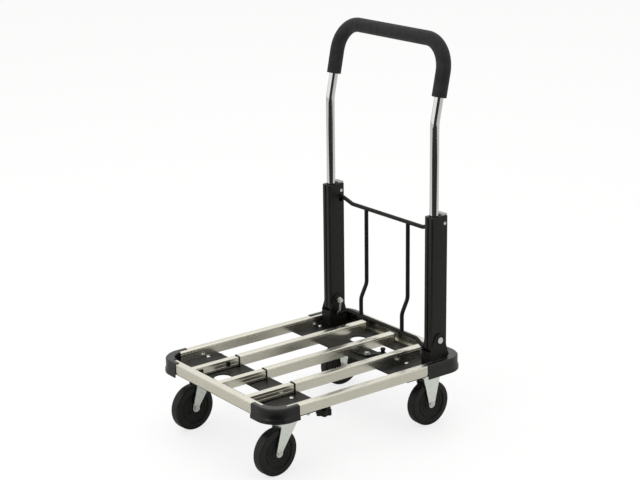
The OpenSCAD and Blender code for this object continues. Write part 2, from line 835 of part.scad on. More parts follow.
// Half section of a wheel: rounded tread, dished flanks with two raised rings, and a hub
module wheel_outline() {
    r = wheel_d / 2;
    half = wheel_w / 2;
    t = tread_round;
    hub_wall = 7;
    rim = 14;
    web = half - 3;
    ring = half - 1.5;
    union() {
        translate([bush_r, -half]) square([hub_wall, wheel_w]);
        translate([bush_r, -web]) square([r - t - bush_r, 2 * web]);
        for (q = [[19, 2.5], [27, 2]]) translate([q[0], -ring]) square([q[1], 2 * ring]);
        translate([r - rim, -half]) square([rim - t, wheel_w]);
        translate([r - rim, -half + t]) square([rim, wheel_w - 2 * t]);
        for (s = SIDES) translate([r - t, s * (half - t)]) circle(r = t, $fn = fine);
    }
}

module wheel() {
    color("#1c1c1c") rotate([90, 0, 0]) rotate_extrude($fn = fine) wheel_outline();
}

module bush() {
    end_play = 0.6;
    len = 2 * (leg_in - end_play);
    color("gray") difference() {
        pin_y(0, 0, 0, bush_r, len);
        pin_y(0, 0, 0, axle_d / 2 + fit, len + 2 * overshoot);
    }
}

module at_front_axle(side) {
    at_swivel(side) translate([-trail, 0, axle_z]) children();
}

module at_rear_axle(side) {
    translate([fixed_x, side * caster_y, axle_z]) children();
}

module wheel_front_left() { at_front_axle(LEFT) wheel(); }

module wheel_front_right() { at_front_axle(RIGHT) wheel(); }

module wheel_rear_left() { at_rear_axle(LEFT) wheel(); }

module wheel_rear_right() { at_rear_axle(RIGHT) wheel(); }

module bush_front_left() { at_front_axle(LEFT) bush(); }

module bush_front_right() { at_front_axle(RIGHT) bush(); }

module bush_rear_left() { at_rear_axle(LEFT) bush(); }

module bush_rear_right() { at_rear_axle(RIGHT) bush(); }

// ---------- clamp knobs ----------

module clamp_knob(side) {
    lobes = 6;
    knob_h = 16;
    lobe_h = 12;
    lobe_r = 5;
    core_r = knob_d / 2 - 4;
    collar_h = 2;
    knob_top = front_plate_low - slide_gap;
    color("black") translate([knob_x, side * stud_y, 0]) union() {
        translate([0, 0, knob_top - knob_h]) {
            cylinder(r = core_r, h = knob_h - collar_h, $fn = fine);
            for (i = [0 : lobes - 1]) rotate([0, 0, i * 360 / lobes])
                translate([knob_d / 2 - lobe_r, 0, 0]) cylinder(r = lobe_r, h = lobe_h, $fn = fine);
        }
        translate([0, 0, knob_top - collar_h]) cylinder(r = 2 * stub_r, h = collar_h, $fn = fine);
        translate([0, 0, knob_top]) cylinder(r = stub_r, h = fixed_base + rail_wall - knob_top, $fn = fine);
    }
}

module clamp_knob_left() { clamp_knob(LEFT); }

module clamp_knob_right() { clamp_knob(RIGHT); }

// ---------- push handle ----------

// Section of an upright: bore for the tube, rear chamber, and a groove down the front face
module upright_outline() {
    r = upright_round;
    groove_w = 4;
    groove_depth = 2.2;
    difference() {
        union() {
            translate([front_face + r, -upright_w / 2]) square([upright_d - r, upright_w]);
            translate([front_face, -upright_w / 2 + r]) square([upright_d, upright_w - 2 * r]);
            for (s = SIDES) translate([front_face + r, s * (upright_w / 2 - r)]) circle(r = r, $fn = fine);
        }
        translate([tube_x, 0]) circle(r = bore_r, $fn = fine);
        translate([chamber_front, -chamber_w / 2]) square([chamber_len, chamber_w]);
        translate([front_face - overshoot, -groove_w / 2]) square([groove_depth + overshoot, groove_w]);
    }
}

module upright(side) {
    inner = -side * upright_w / 2;
    slot_drop = guard_press + slot_spare;
    slot_cut = 4;
    nose_w = 10;
    nose_h = 9;
    color("#262626") translate([0, side * upright_y, 0]) difference() {
        translate([0, 0, upright_low]) linear_extrude(upright_top - upright_low) upright_outline();
        pin_y(pivot_x, 0, pivot_z, pivot_r + fit, upright_w + 2 * overshoot);
        pin_y(pin_x, 0, pin_z, pin_r, upright_w + 2 * overshoot);
        // slot for the guard's end, in the inner wall only
        for (z = [guard_end_z, guard_end_z - slot_drop]) pin_y(guard_x, inner, z, slot_r, 2 * slot_cut);
        translate([guard_x - slot_r, inner - slot_cut, guard_end_z - slot_drop])
            cube([2 * slot_r, 2 * slot_cut, slot_drop]);
        // way for the lever's nose into the tube's bore
        translate([tube_x + bore_r - 4, -nose_w / 2, lever_nose_z - nose_h / 2])
            cube([8, nose_w, nose_h]);
    }
}

module upright_left() { upright(LEFT); }

module upright_right() { upright(RIGHT); }

module tube_collars() {
    collar_len = 12;
    lip_h = 2.5;
    color("black") for (s = SIDES) translate([tube_x, s * upright_y, upright_top]) difference() {
        union() {
            translate([0, 0, -collar_len]) cylinder(r = bore_r, h = collar_len, $fn = fine);
            cylinder(r = bore_r, h = lip_h, $fn = fine);
        }
        translate([0, 0, -collar_len - overshoot])
            cylinder(r = tube_r + fit, h = collar_len + lip_h + 2 * overshoot, $fn = fine);
    }
}

module lever_pins() {
    head_t = 1.2;
    color("silver") for (s = SIDES) union() {
        pin_y(pin_x, s * upright_y, pin_z, pin_r, upright_w);
        for (t = SIDES)
            pin_y(pin_x, s * upright_y + t * (upright_w / 2 + head_t / 2), pin_z, pin_r + 1.6, head_t);
    }
}

module lever_springs() {
    color("gray") for (s = SIDES) difference() {
        pin_y(pin_x, s * upright_y, pin_z, pin_r + 1.4, 2 * lever_spring_half);
        pin_y(pin_x, s * upright_y, pin_z, pin_r + 0.1, 2 * (lever_spring_half + overshoot));
    }
}

module height_lever(side) {
    front = pin_x - 3.7;
    back = pin_x + 4;
    nose_half = 4;
    nose_h = 4;
    pad_low = upright_top + 1.2;
    pad_h = 2.8;
    pad_front = front - 1.3;
    pad_half = upright_w / 2 - 1;
    spring_room = lever_spring_half + 0.3;
    nose_front = tube_x + tube_r + slide_gap;
    color("#5a5a58") translate([0, side * upright_y, 0]) difference() {
        union() {
            translate([front, -lever_half, lever_low])
                cube([back - front, 2 * lever_half, pad_low - lever_low + 1]);
            translate([pad_front, -pad_half, pad_low]) cube([back_face - pad_front, 2 * pad_half, pad_h]);
            translate([nose_front, -nose_half, lever_low])
                cube([front - nose_front + 1, 2 * nose_half, nose_h]);
        }
        pin_y(pin_x, 0, pin_z, pin_r + fit, 2 * (lever_half + overshoot));
        translate([front - 1, -spring_room, pin_z - 4]) cube([back - front + 2, 2 * spring_room, 8]);
    }
}

module height_lever_left() { height_lever(LEFT); }

module height_lever_right() { height_lever(RIGHT); }

// Points of a rod across the cart: its right half, then the same points mirrored
function across(half) = [
    for (p = half) [p[0], -p[1], p[2]],
    for (i = [len(half) - 1 : -1 : 0]) half[i]
];

module guard() {
    end_y = upright_y - upright_w / 2 + 5;
    neck_y = end_y - 14;
    kink_top_z = pivot_z + 60;
    kink_low_z = pivot_z + 28;
    top = across([
        [guard_x, end_y, guard_end_z], [guard_x, neck_y, guard_end_z],
        [guard_x, guard_bend_y, guard_mid_z]
    ]);
    foot = across([
        [guard_low_x, hook_y + 5, guard_hook_z], [guard_low_x, hook_y - 4, guard_hook_z],
        [guard_low_x, guard_bend_y, guard_foot_z]
    ]);
    color("#262626") union() {
        rod_path(top, rod_r);
        rod_path(foot, rod_r);
        for (s = SIDES) rod_path([
            [guard_x, s * guard_rod_y, guard_mid_z], [guard_x, s * guard_rod_y, kink_top_z],
            [guard_low_x, s * guard_rod_y, kink_low_z], [guard_low_x, s * guard_rod_y, guard_foot_z]
        ], rod_r - 0.2);
    }
}

module guard_springs() {
    coil_r = 2.6;
    tip = 1.2;
    a = [pivot_x, 0, pivot_z - stub_r - tip];
    b = [guard_low_x, 0, guard_hook_z + rod_r + tip];
    color("silver") for (s = SIDES) translate([0, s * hook_y, 0]) rod(a, b, coil_r);
}

// ---------- telescopic tube ----------

// Draws its children in the plane of the leaned part: Y across, Z along the lean
module leaned() {
    translate([tube_x, 0, bend_z]) rotate([0, lean, 0]) children();
}

// The leaned bow as a solid rod of a given radius; its legs start at a height above the bend
module bow(r, from) {
    for (s = SIDES) {
        translate([0, s * upright_y, from]) cylinder(r = r, h = legs_len - from, $fn = fine);
        translate([0, s * cross_y, legs_len]) rotate([90, 0, 90]) rotate([0, 0, s > 0 ? 0 : 90])
            rotate_extrude(angle = 90, $fn = fine) translate([tube_corner, 0]) circle(r = r, $fn = fine);
    }
    translate([0, cross_y, lean_len]) rotate([90, 0, 0]) cylinder(r = r, h = 2 * cross_y, $fn = fine);
}

// The tube's two straight legs up to the bend as solid rods of a given radius, with their knuckles
module tube_legs(r, low) {
    for (s = SIDES) translate([tube_x, s * upright_y, 0]) {
        translate([0, 0, low]) cylinder(r = r, h = bend_z - low, $fn = fine);
        translate([0, 0, bend_z]) sphere(r = r + knuckle_proud, $fn = fine);
    }
}

module handle_tube() {
    color("#d8d8d8") difference() {
        union() {
            tube_legs(tube_r, tube_low);
            leaned() bow(tube_r, 0);
        }
        tube_legs(tube_in_r, tube_low - overshoot);
        leaned() bow(tube_in_r, 0);
        // a lever hole for each height of the handle
        for (s = SIDES, rise = [0, tube_travel / 2, tube_travel])
            translate([tube_x, s * upright_y, lever_nose_z + rise]) rotate([0, 90, 0])
                cylinder(r = lever_hole_r, h = tube_r + overshoot, $fn = fine);
    }
}

module tube_plugs() {
    shank_h = 10;
    color("black") for (s = SIDES) translate([tube_x, s * upright_y, tube_low]) union() {
        translate([0, 0, -foot_h]) cylinder(r = bore_r - fit, h = foot_h, $fn = fine);
        cylinder(r = tube_in_r, h = shank_h, $fn = fine);
    }
}

module hand_grip() {
    color("#1e1e1e") leaned() difference() {
        bow(grip_d / 2, grip_start);
        bow(tube_r, 0);
    }
}

side_rail_left();
side_rail_right();
deck_rails();
rear_crossbar();
rear_bumper_left();
rear_bumper_right();
rear_plate();
rail_end_caps();
mouth_rings();
hinge_bracket_left();
hinge_bracket_right();
bracket_bolts();
pivot_bolts();
rear_fork_left();
rear_fork_right();
rear_axles();
rear_caster_bolts();
rear_caster_nuts();
lock_fixings();
lock_lever();
lock_knob();
front_crossbar();
front_bumper_left();
front_bumper_right();
slide_rails();
side_slides();
front_plate();
rail_spacers();
catch_blocks();
front_caster_plates();
front_kingpins();
front_caster_bolts();
front_caster_nuts();
front_fork_left();
front_fork_right();
front_axle_left();
front_axle_right();
wheel_front_left();
wheel_front_right();
wheel_rear_left();
wheel_rear_right();
bush_front_left();
bush_front_right();
bush_rear_left();
bush_rear_right();
clamp_knob_left();
clamp_knob_right();
upright_left();
upright_right();
tube_collars();
lever_pins();
lever_springs();
height_lever_left();
height_lever_right();
guard();
guard_springs();
handle_tube();
tube_plugs();
hand_grip();
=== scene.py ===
# %% [markdown]
# # A folding platform cart
# The cart has a slatted aluminium deck, four casters and a push handle that folds down and telescopes.
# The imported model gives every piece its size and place, so each step below asks it where things are.
# A maker could model the whole cart by eye, but then the hinges wouldn't meet. Here the frame stays as
# it is, and the work goes into edges, wire, turned parts and finishes.
# %% Load the frame
import json
import math

import bmesh
import bpy
from mathutils import Matrix, Vector


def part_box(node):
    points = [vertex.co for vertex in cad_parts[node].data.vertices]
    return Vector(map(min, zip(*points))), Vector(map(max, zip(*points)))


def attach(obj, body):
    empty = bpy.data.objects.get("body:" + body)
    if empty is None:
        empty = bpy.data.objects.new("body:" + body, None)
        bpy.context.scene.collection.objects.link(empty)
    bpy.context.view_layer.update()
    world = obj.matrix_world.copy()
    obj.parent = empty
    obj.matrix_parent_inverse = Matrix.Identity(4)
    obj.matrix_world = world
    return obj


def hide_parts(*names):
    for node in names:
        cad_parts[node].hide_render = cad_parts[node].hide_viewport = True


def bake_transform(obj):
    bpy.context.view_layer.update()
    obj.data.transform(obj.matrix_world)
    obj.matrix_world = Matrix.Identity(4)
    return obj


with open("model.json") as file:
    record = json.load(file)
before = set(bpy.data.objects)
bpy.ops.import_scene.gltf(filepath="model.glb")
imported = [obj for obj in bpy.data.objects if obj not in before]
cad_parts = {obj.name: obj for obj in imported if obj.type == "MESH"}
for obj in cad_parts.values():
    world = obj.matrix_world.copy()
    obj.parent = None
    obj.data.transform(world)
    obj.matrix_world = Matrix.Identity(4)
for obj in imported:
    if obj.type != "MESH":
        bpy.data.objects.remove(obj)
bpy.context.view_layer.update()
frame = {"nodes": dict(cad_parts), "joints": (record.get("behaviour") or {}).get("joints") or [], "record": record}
record = frame["record"]
body_of = {node: body for body, nodes in record["behaviour"]["bodies"].items() for node in nodes}
slot_of = {part["node"]: part["material_slot"] for part in record["subparts"]}
joint_at = {joint["name"]: Vector(joint["pos_m"]) for joint in frame["joints"] if "pos_m" in joint}

# %% [markdown]
# ## Two helpers for node trees
# Shaders and Geometry Nodes are both trees of nodes with sockets. Clicking them together by hand is
# fine once, but a dozen finishes repeat the same few moves. One function that makes a node, fills its
# sockets and links whatever is already a socket keeps every tree below short enough to read.
# %% Node helpers
MM = 0.001


def add(tree, kind, inputs=None, **settings):
    """Adds a node; an input that is itself a socket becomes a link."""
    made = tree.nodes.new(kind)
    for key, value in settings.items():
        setattr(made, key, value)
    for key, value in (inputs or {}).items():
        if isinstance(value, bpy.types.NodeSocket):
            tree.links.new(value, made.inputs[key])
        else:
            made.inputs[key].default_value = value
    return made


def finish(name, base, metallic=0.0, roughness=0.5, **surface):
    """A new material with its even values set straight on the shader's sockets."""
    material = bpy.data.materials.new(name)
    material.use_nodes = True
    tree = material.node_tree
    shader = tree.nodes["Principled BSDF"]
    shader.inputs["Base Color"].default_value = (*base, 1)
    shader.inputs["Metallic"].default_value = metallic
    shader.inputs["Roughness"].default_value = roughness
    for key, value in surface.items():
        shader.inputs[key.replace("_", " ").title().replace("Ior", "IOR")].default_value = value
    return material, tree, shader


def grain(tree, size, stretch=(1, 1, 1), detail=4.0):
    """Noise with blotches about size metres across, drawn out along axes where stretch is small."""
    place = add(tree, "ShaderNodeTexCoord").outputs["Object"]
    turned = add(tree, "ShaderNodeMapping", {"Vector": place, "Scale": stretch}).outputs["Vector"]
    noise = add(tree, "ShaderNodeTexNoise", {"Vector": turned, "Scale": 1 / size, "Detail": detail})
    return noise.outputs["Fac"]


def spread(tree, value, low, high, start=0.3, end=0.7):
    """Maps a noise's middle range onto low to high."""
    return add(tree, "ShaderNodeMapRange", {"Value": value, "From Min": start, "From Max": end,
                                           "To Min": low, "To Max": high}).outputs["Result"]


def tint(tree, value, dark, light, start=0.35, end=0.65):
    """Turns a noise into a colour between two others."""
    ramp = add(tree, "ShaderNodeValToRGB", {"Fac": value})
    ramp.color_ramp.elements[0].position = start
    ramp.color_ramp.elements[1].position = end
    ramp.color_ramp.elements[0].color = (*dark, 1)
    ramp.color_ramp.elements[1].color = (*light, 1)
    return ramp.outputs["Color"]


def relief(tree, height, depth, below=None):
    """A bump of a given depth in metres, laid over another if there is one."""
    inputs = {"Height": height, "Distance": depth, "Strength": 1.0}
    if below:
        inputs["Normal"] = below
    return add(tree, "ShaderNodeBump", inputs).outputs["Normal"]


def worn_edge(tree, reach):
    """A mask that is 1 along sharp edges, where a rounded normal leaves the true one."""
    rounded = add(tree, "ShaderNodeBevel", {"Radius": reach}, samples=4).outputs["Normal"]
    true = add(tree, "ShaderNodeNewGeometry").outputs["Normal"]
    match = add(tree, "ShaderNodeVectorMath", {0: rounded, 1: true}, operation="DOT_PRODUCT")
    return spread(tree, match.outputs["Value"], 1, 0, 0.86, 0.97)


print("node helpers ready")

# %% [markdown]
# ## Aluminium rails
# The rails are extruded, very lightly brushed along their length and anodised a warm silver. A
# single grey with one roughness looks like plastic. Noise that is long in one direction and fine in
# the others gives the brush lines, so the same recipe is made once for each direction a rail runs.
# The lines are only half a micron deep: deeper ones break up what the metal mirrors.
# %% Aluminium
BRUSH_LONG, BRUSH_FINE = 0.02, 1.0
BRUSH_WIDTH, BRUSH_DEPTH = 1.6 * MM, 0.0005 * MM
CLOUD_SIZE = 60 * MM


def aluminium(name, along):
    """Brushed metal whose lines run along axis 0, 1 or 2."""
    stretch = [BRUSH_LONG if axis == along else BRUSH_FINE for axis in range(3)]
    material, tree, shader = finish(name, (0.72, 0.7, 0.61), metallic=1.0, roughness=0.25)
    lines = grain(tree, BRUSH_WIDTH, stretch, 3)
    clouds = grain(tree, CLOUD_SIZE, detail=3)
    both = add(tree, "ShaderNodeMath", {0: lines, 1: clouds}, operation="MULTIPLY").outputs[0]
    silver = tint(tree, clouds, (0.7, 0.68, 0.59), (0.73, 0.71, 0.62))
    tree.links.new(silver, shader.inputs["Base Color"])
    tree.links.new(spread(tree, both, 0.23, 0.28, 0.12, 0.4), shader.inputs["Roughness"])
    tree.links.new(relief(tree, lines, BRUSH_DEPTH), shader.inputs["Normal"])
    return material


rail_metal = {0: aluminium("aluminium_along_deck", 0), 1: aluminium("aluminium_across_deck", 1)}
print([material.name for material in rail_metal.values()])

# %% [markdown]
# ## Zinc, bolts, springs and chrome
# Stamped caster forks are zinc plated: bright, with a faint green cast and soft patches where the
# crystals differ. Bolts carry the same plating over turned steel. The telescopic tube is polished
# chrome, where almost everything that shows is a reflection and only hair scratches break it.
# %% Bright metals
CRYSTAL = 0.6 * MM


def plated(name, base, patch, rough, patch_size, scratch):
    """Plating that clouds between two colours, over a fine relief scratch metres deep."""
    material, tree, shader = finish(name, base, metallic=1.0, roughness=rough)
    blotch = grain(tree, patch_size, detail=5)
    fine = grain(tree, CRYSTAL, detail=3)
    tree.links.new(tint(tree, blotch, patch, base), shader.inputs["Base Color"])
    tree.links.new(spread(tree, blotch, rough * 0.75, rough * 1.4), shader.inputs["Roughness"])
    tree.links.new(relief(tree, fine, scratch), shader.inputs["Normal"])
    return material


zinc = plated("zinc_plate", (0.88, 0.92, 0.87), (0.83, 0.875, 0.83), 0.32, 6 * MM, 0.004 * MM)
bolt_metal = plated("bolt_plate", (0.78, 0.78, 0.76), (0.6, 0.6, 0.6), 0.24, 3 * MM, 0.015 * MM)
spring_metal = plated("spring_wire", (0.75, 0.75, 0.74), (0.55, 0.55, 0.56), 0.2, 4 * MM, 0.01 * MM)


def chromed():
    """Polished chrome with hair scratches up its length and a few smears."""
    material, tree, shader = finish("polished_chrome", (0.83, 0.83, 0.84), metallic=1.0, roughness=0.07)
    hairs = grain(tree, 0.8 * MM, (1, 1, 0.03), 5)
    smears = grain(tree, 30 * MM, (1, 1, 0.3), 3)
    tree.links.new(spread(tree, smears, 0.045, 0.12), shader.inputs["Roughness"])
    tree.links.new(relief(tree, hairs, 0.004 * MM), shader.inputs["Normal"])
    return material


chrome = chromed()
print([material.name for material in (zinc, bolt_metal, spring_metal, chrome)])

# %% [markdown]
# ## Black finishes
# Four blacks sit side by side on the cart, and they differ only in gloss and texture: grained
# bumper plastic, powder-coated steel with its orange peel, the warmer satin coat of the uprights,
# and moulded knobs. Edges that get knocked go a little lighter, which a bevel-based mask finds. The
# grey levers share the recipe.
# %% Black plastic and coated steel
WEAR_REACH = 0.6 * MM
SCUFF_SIZE = 20 * MM
DUST_GAIN, DUST_LIFT = 1.35, 0.002


def coated(name, base, worn, rough, peel_size, peel_depth, gloss=0.3, streak=(1, 1, 1)):
    """A moulded or sprayed finish with a fine peel, faint dust and worn edges."""
    material, tree, shader = finish(name, base, roughness=rough, specular_ior_level=gloss)
    peel = grain(tree, peel_size, streak, 3)
    scuff = grain(tree, SCUFF_SIZE, detail=6)
    knocked = add(tree, "ShaderNodeMath", {0: worn_edge(tree, WEAR_REACH), 1: scuff},
                  operation="MULTIPLY")
    dusty = tint(tree, scuff, base, [c * DUST_GAIN + DUST_LIFT for c in base], 0.45, 0.75)
    paint = add(tree, "ShaderNodeMix", {"Factor": knocked.outputs[0], 6: dusty, 7: (*worn, 1)},
                data_type="RGBA")
    tree.links.new(paint.outputs[2], shader.inputs["Base Color"])
    tree.links.new(spread(tree, scuff, rough - 0.07, rough + 0.1), shader.inputs["Roughness"])
    tree.links.new(relief(tree, peel, peel_depth), shader.inputs["Normal"])
    return material


bumper_plastic = coated("bumper_plastic", (0.0025, 0.0025, 0.0024), (0.05, 0.05, 0.049), 0.3,
                        0.7 * MM, 0.02 * MM, gloss=0.42)
knob_plastic = coated("knob_plastic", (0.003, 0.003, 0.003), (0.04, 0.04, 0.04), 0.38,
                      0.6 * MM, 0.03 * MM)
powder_coat = coated("powder_coat", (0.003, 0.003, 0.0027), (0.04, 0.039, 0.037), 0.4,
                     1.3 * MM, 0.025 * MM, gloss=0.25)
upright_coat = coated("upright_coat", (0.005, 0.0048, 0.004), (0.06, 0.058, 0.052), 0.36,
                      0.9 * MM, 0.025 * MM, streak=(1, 1, 0.05))
lever_plastic = coated("lever_plastic", (0.3, 0.3, 0.29), (0.45, 0.45, 0.44), 0.45,
                       0.6 * MM, 0.03 * MM)
print("five moulded and coated finishes")

# %% [markdown]
# ## Rubber and foam
# The wheels are hard black rubber that picks up a little dust; the grip is closed-cell foam, much
# more matte, with pores under a millimetre across. Pores are cells and not clouds, so they come
# from a Voronoi texture, and a touch of sheen stands for the fine skin that catches the light.
# %% Rubber and foam
PORES_A_METRE = 1400.0


def rubber():
    """Hard black rubber with a film of dust."""
    material, tree, shader = finish("wheel_rubber", (0.008, 0.008, 0.0085), roughness=0.42,
                                    specular_ior_level=0.3)
    dust = grain(tree, 12 * MM, detail=6)
    fine = grain(tree, 0.9 * MM, detail=3)
    tree.links.new(tint(tree, dust, (0.004, 0.004, 0.0042), (0.012, 0.0115, 0.0105), 0.45, 0.8),
                   shader.inputs["Base Color"])
    tree.links.new(spread(tree, dust, 0.34, 0.55), shader.inputs["Roughness"])
    tree.links.new(relief(tree, fine, 0.04 * MM), shader.inputs["Normal"])
    return material


def foam():
    """Closed-cell foam: open pores over a gently uneven skin."""
    material, tree, shader = finish("grip_foam", (0.011, 0.011, 0.0115), roughness=0.8,
                                    sheen_weight=0.08, sheen_roughness=0.5, specular_ior_level=0.25)
    place = add(tree, "ShaderNodeTexCoord").outputs["Object"]
    cells = add(tree, "ShaderNodeTexVoronoi", {"Vector": place, "Scale": PORES_A_METRE}).outputs["Distance"]
    clouds = grain(tree, 15 * MM, detail=5)
    tree.links.new(tint(tree, clouds, (0.009, 0.009, 0.0095), (0.016, 0.016, 0.0165)),
                   shader.inputs["Base Color"])
    pores = relief(tree, cells, 0.12 * MM)
    tree.links.new(relief(tree, clouds, 0.4 * MM, below=pores), shader.inputs["Normal"])
    return material


wheel_rubber, grip_foam = rubber(), foam()
print(wheel_rubber.name, grip_foam.name)

# %% Finishes on the frame
finishes = {
    "bumper_plastic": bumper_plastic, "black_plastic": knob_plastic, "black_steel": powder_coat,
    "upright_coat": upright_coat, "zinc_steel": zinc, "bolt_steel": bolt_metal,
    "spring_steel": spring_metal, "wheel_rubber": wheel_rubber, "lever_plastic": lever_plastic,
    "chrome_tube": chrome, "foam_grip": grip_foam,
}
ACROSS_DECK = ("front_crossbar", "rear_crossbar")


def finish_for(node):
    """The material that a node's slot in the record asks for."""
    if slot_of[node] == "aluminium_rail":
        return rail_metal[1 if node in ACROSS_DECK else 0]
    return finishes[slot_of[node]]


for name, obj in frame["nodes"].items():
    obj.data.materials.clear()
    obj.data.materials.append(finish_for(name))
print(len(finishes) + len(rail_metal), "finishes")

# %% [markdown]
# ## Deburred pieces
# Every cut edge on a real cart has been broken with a file or rounded by its mould, and those thin
# rounded edges catch most of the highlights. The frame's edges are perfectly sharp. The edges could
# be faked in the shader, but real ones are part of the mesh itself. So each piece is copied, its
# loose triangles are merged into clean faces, and a Bevel rounds the edges that turn sharply.
# %% Deburr
MERGE = 0.002 * MM
SHARP, FLAT = math.radians(32), math.radians(0.4)
WIDE_EDGE = 0.6 * MM


def link(obj, node):
    """Puts a finished piece on the body of a node, which it stands for, with its finish."""
    if obj.name not in bpy.context.scene.collection.objects:
        bpy.context.scene.collection.objects.link(obj)
    obj.data.materials.clear()
    obj.data.materials.append(finish_for(node))
    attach(obj, body_of[node])
    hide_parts(node)
    return obj


def smooth(mesh, angle=SHARP):
    """Shades a mesh smooth, except across edges that turn by more than the angle."""
    mesh.polygons.foreach_set("use_smooth", [True] * len(mesh.polygons))
    mesh.set_sharp_from_angle(angle=angle)


def deburred(node, width, steps=2):
    """A copy of a node with its sharp edges rounded by width metres."""
    clean = bmesh.new()
    clean.from_mesh(frame["nodes"][node].data)
    for layer in list(clean.loops.layers.uv):
        clean.loops.layers.uv.remove(layer)
    bmesh.ops.remove_doubles(clean, verts=clean.verts, dist=MERGE)
    bmesh.ops.dissolve_limit(clean, angle_limit=FLAT, verts=clean.verts, edges=clean.edges)
    mesh = bpy.data.meshes.new(node + "_deburred")
    clean.to_mesh(mesh)
    clean.free()
    for name in ("custom_normal", "sharp_edge"):
        if name in mesh.attributes:
            mesh.attributes.remove(mesh.attributes[name])
    smooth(mesh)
    obj = bpy.data.objects.new(node + "_deburred", mesh)
    edge = obj.modifiers.new("broken edge", "BEVEL")
    edge.limit_method = "ANGLE"
    edge.angle_limit = SHARP
    edge.width = width
    edge.segments = steps
    edge.use_clamp_overlap = True
    edge.miter_outer = "MITER_ARC"
    edge.harden_normals = True
    return link(obj, node)


EDGES = {
    0.25 * MM: ("rear_plate", "front_plate", "lock_lever", "rear_fork_left", "rear_fork_right",
                "front_fork_left", "front_fork_right", "front_caster_plates", "mouth_rings"),
    0.35 * MM: ("side_rail_left", "side_rail_right", "deck_rails", "rear_crossbar", "front_crossbar",
                "slide_rails", "side_slides", "rail_end_caps", "catch_blocks"),
    0.5 * MM: ("hinge_bracket_left", "hinge_bracket_right", "upright_left", "upright_right",
               "tube_collars", "height_lever_left", "height_lever_right", "pivot_bolts"),
    0.9 * MM: ("front_bumper_left", "front_bumper_right", "rear_bumper_left", "rear_bumper_right",
               "clamp_knob_left", "clamp_knob_right"),
}
for width, nodes in EDGES.items():
    for node in nodes:
        deburred(node, width, steps=3 if width > WIDE_EDGE else 2)
print(sum(len(nodes) for nodes in EDGES.values()), "pieces deburred")

# %% [markdown]
# ## Turned parts
# Wheels, knobs and bushes are turned or moulded round an axis, so one half section drawn in radius
# and height is enough. Blender's Spin could turn it, but a plain loop over the angles writes the
# rings in order, closes the seam by itself and keeps every face pointing outwards.
# %% Lathe
ROUND = math.radians(40)


def turned(name, section, steps, place):
    """Turns a closed section of (radius, height) points about Z, then puts it in place."""
    bm = bmesh.new()
    rings = []
    for step in range(steps):
        angle = 2 * math.pi * step / steps
        rings.append([bm.verts.new((r * math.cos(angle), r * math.sin(angle), h)) for r, h in section])
    for step in range(steps):
        here, there = rings[step], rings[(step + 1) % steps]
        for k in range(len(section)):
            after = (k + 1) % len(section)
            bm.faces.new((here[k], there[k], there[after], here[after]))
    bmesh.ops.recalc_face_normals(bm, faces=bm.faces)
    mesh = bpy.data.meshes.new(name)
    bm.to_mesh(mesh)
    bm.free()
    mesh.transform(place)
    smooth(mesh, ROUND)
    return bpy.data.objects.new(name, mesh)


CORNER_SHARE = 0.45
CORNER_STEPS = 4


def rounded(points, radii):
    """A closed outline with each corner replaced by a short curve of its own radius."""
    outline = []
    for k, point in enumerate(points):
        if radii[k] == 0:
            outline.append(point)
            continue
        corner = Vector(point)
        back, ahead = Vector(points[k - 1]) - corner, Vector(points[(k + 1) % len(points)]) - corner
        reach = min(radii[k], back.length * CORNER_SHARE, ahead.length * CORNER_SHARE)
        start, end = corner + back.normalized() * reach, corner + ahead.normalized() * reach
        for s in range(CORNER_STEPS + 1):
            t = s / CORNER_STEPS
            outline.append(tuple((1 - t) ** 2 * start + 2 * t * (1 - t) * corner + t ** 2 * end))
    return outline


print("lathe ready")

# %% Wheels
WHEEL_HALF = 11 * MM
DISH, RING_RISE, SLOPE = 3 * MM, 1.5 * MM, 0.4 * MM
RINGS = ((19 * MM, 21.6 * MM), (27 * MM, 29.2 * MM))
HUB_WALL, HUB_SLOPE, TREAD_DEPTH = 7 * MM, 0.6 * MM, 14 * MM
BORE_ROUND, RING_ROUND, TREAD_ROUND = 0.3 * MM, 0.8 * MM, 4.2 * MM
WHEEL_STEPS = 128


def wheel_section(radius, half, bore):
    """Tread, dished flank with two moulded rings, and hub, as one closed outline."""
    dish, ridge = half - DISH, half - DISH + RING_RISE
    flank = [(bore, half), (bore + HUB_WALL, half), (bore + HUB_WALL + HUB_SLOPE, dish)]
    for inner, outer in RINGS:
        flank += [(inner, dish), (inner + SLOPE, ridge), (outer - SLOPE, ridge), (outer, dish)]
    flank += [(radius - TREAD_DEPTH, dish), (radius - TREAD_DEPTH + SLOPE, half), (radius, half)]
    corners = [BORE_ROUND] + [RING_ROUND] * (len(flank) - 2) + [TREAD_ROUND]
    other = [(r, -h) for r, h in reversed(flank)]
    return rounded(flank + other, corners + corners[::-1])


for node in [n for n in body_of if n.startswith("wheel_")]:
    low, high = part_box(node)
    centre = (low + high) / 2
    axis = next(Vector(j["axis"]) for j in frame["joints"] if j["child"] == body_of[node])
    bush_low, bush_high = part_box(node.replace("wheel", "bush"))
    bore = (bush_high.z - bush_low.z) / 2
    radius = (high.z - low.z) / 2
    lean = Vector((0, 0, 1)).rotation_difference(axis.normalized()).to_matrix().to_4x4()
    section = wheel_section(radius, WHEEL_HALF, bore)
    link(turned(node + "_moulded", section, WHEEL_STEPS, Matrix.Translation(centre) @ lean), node)
print("four wheels, radius", round(radius, 4))

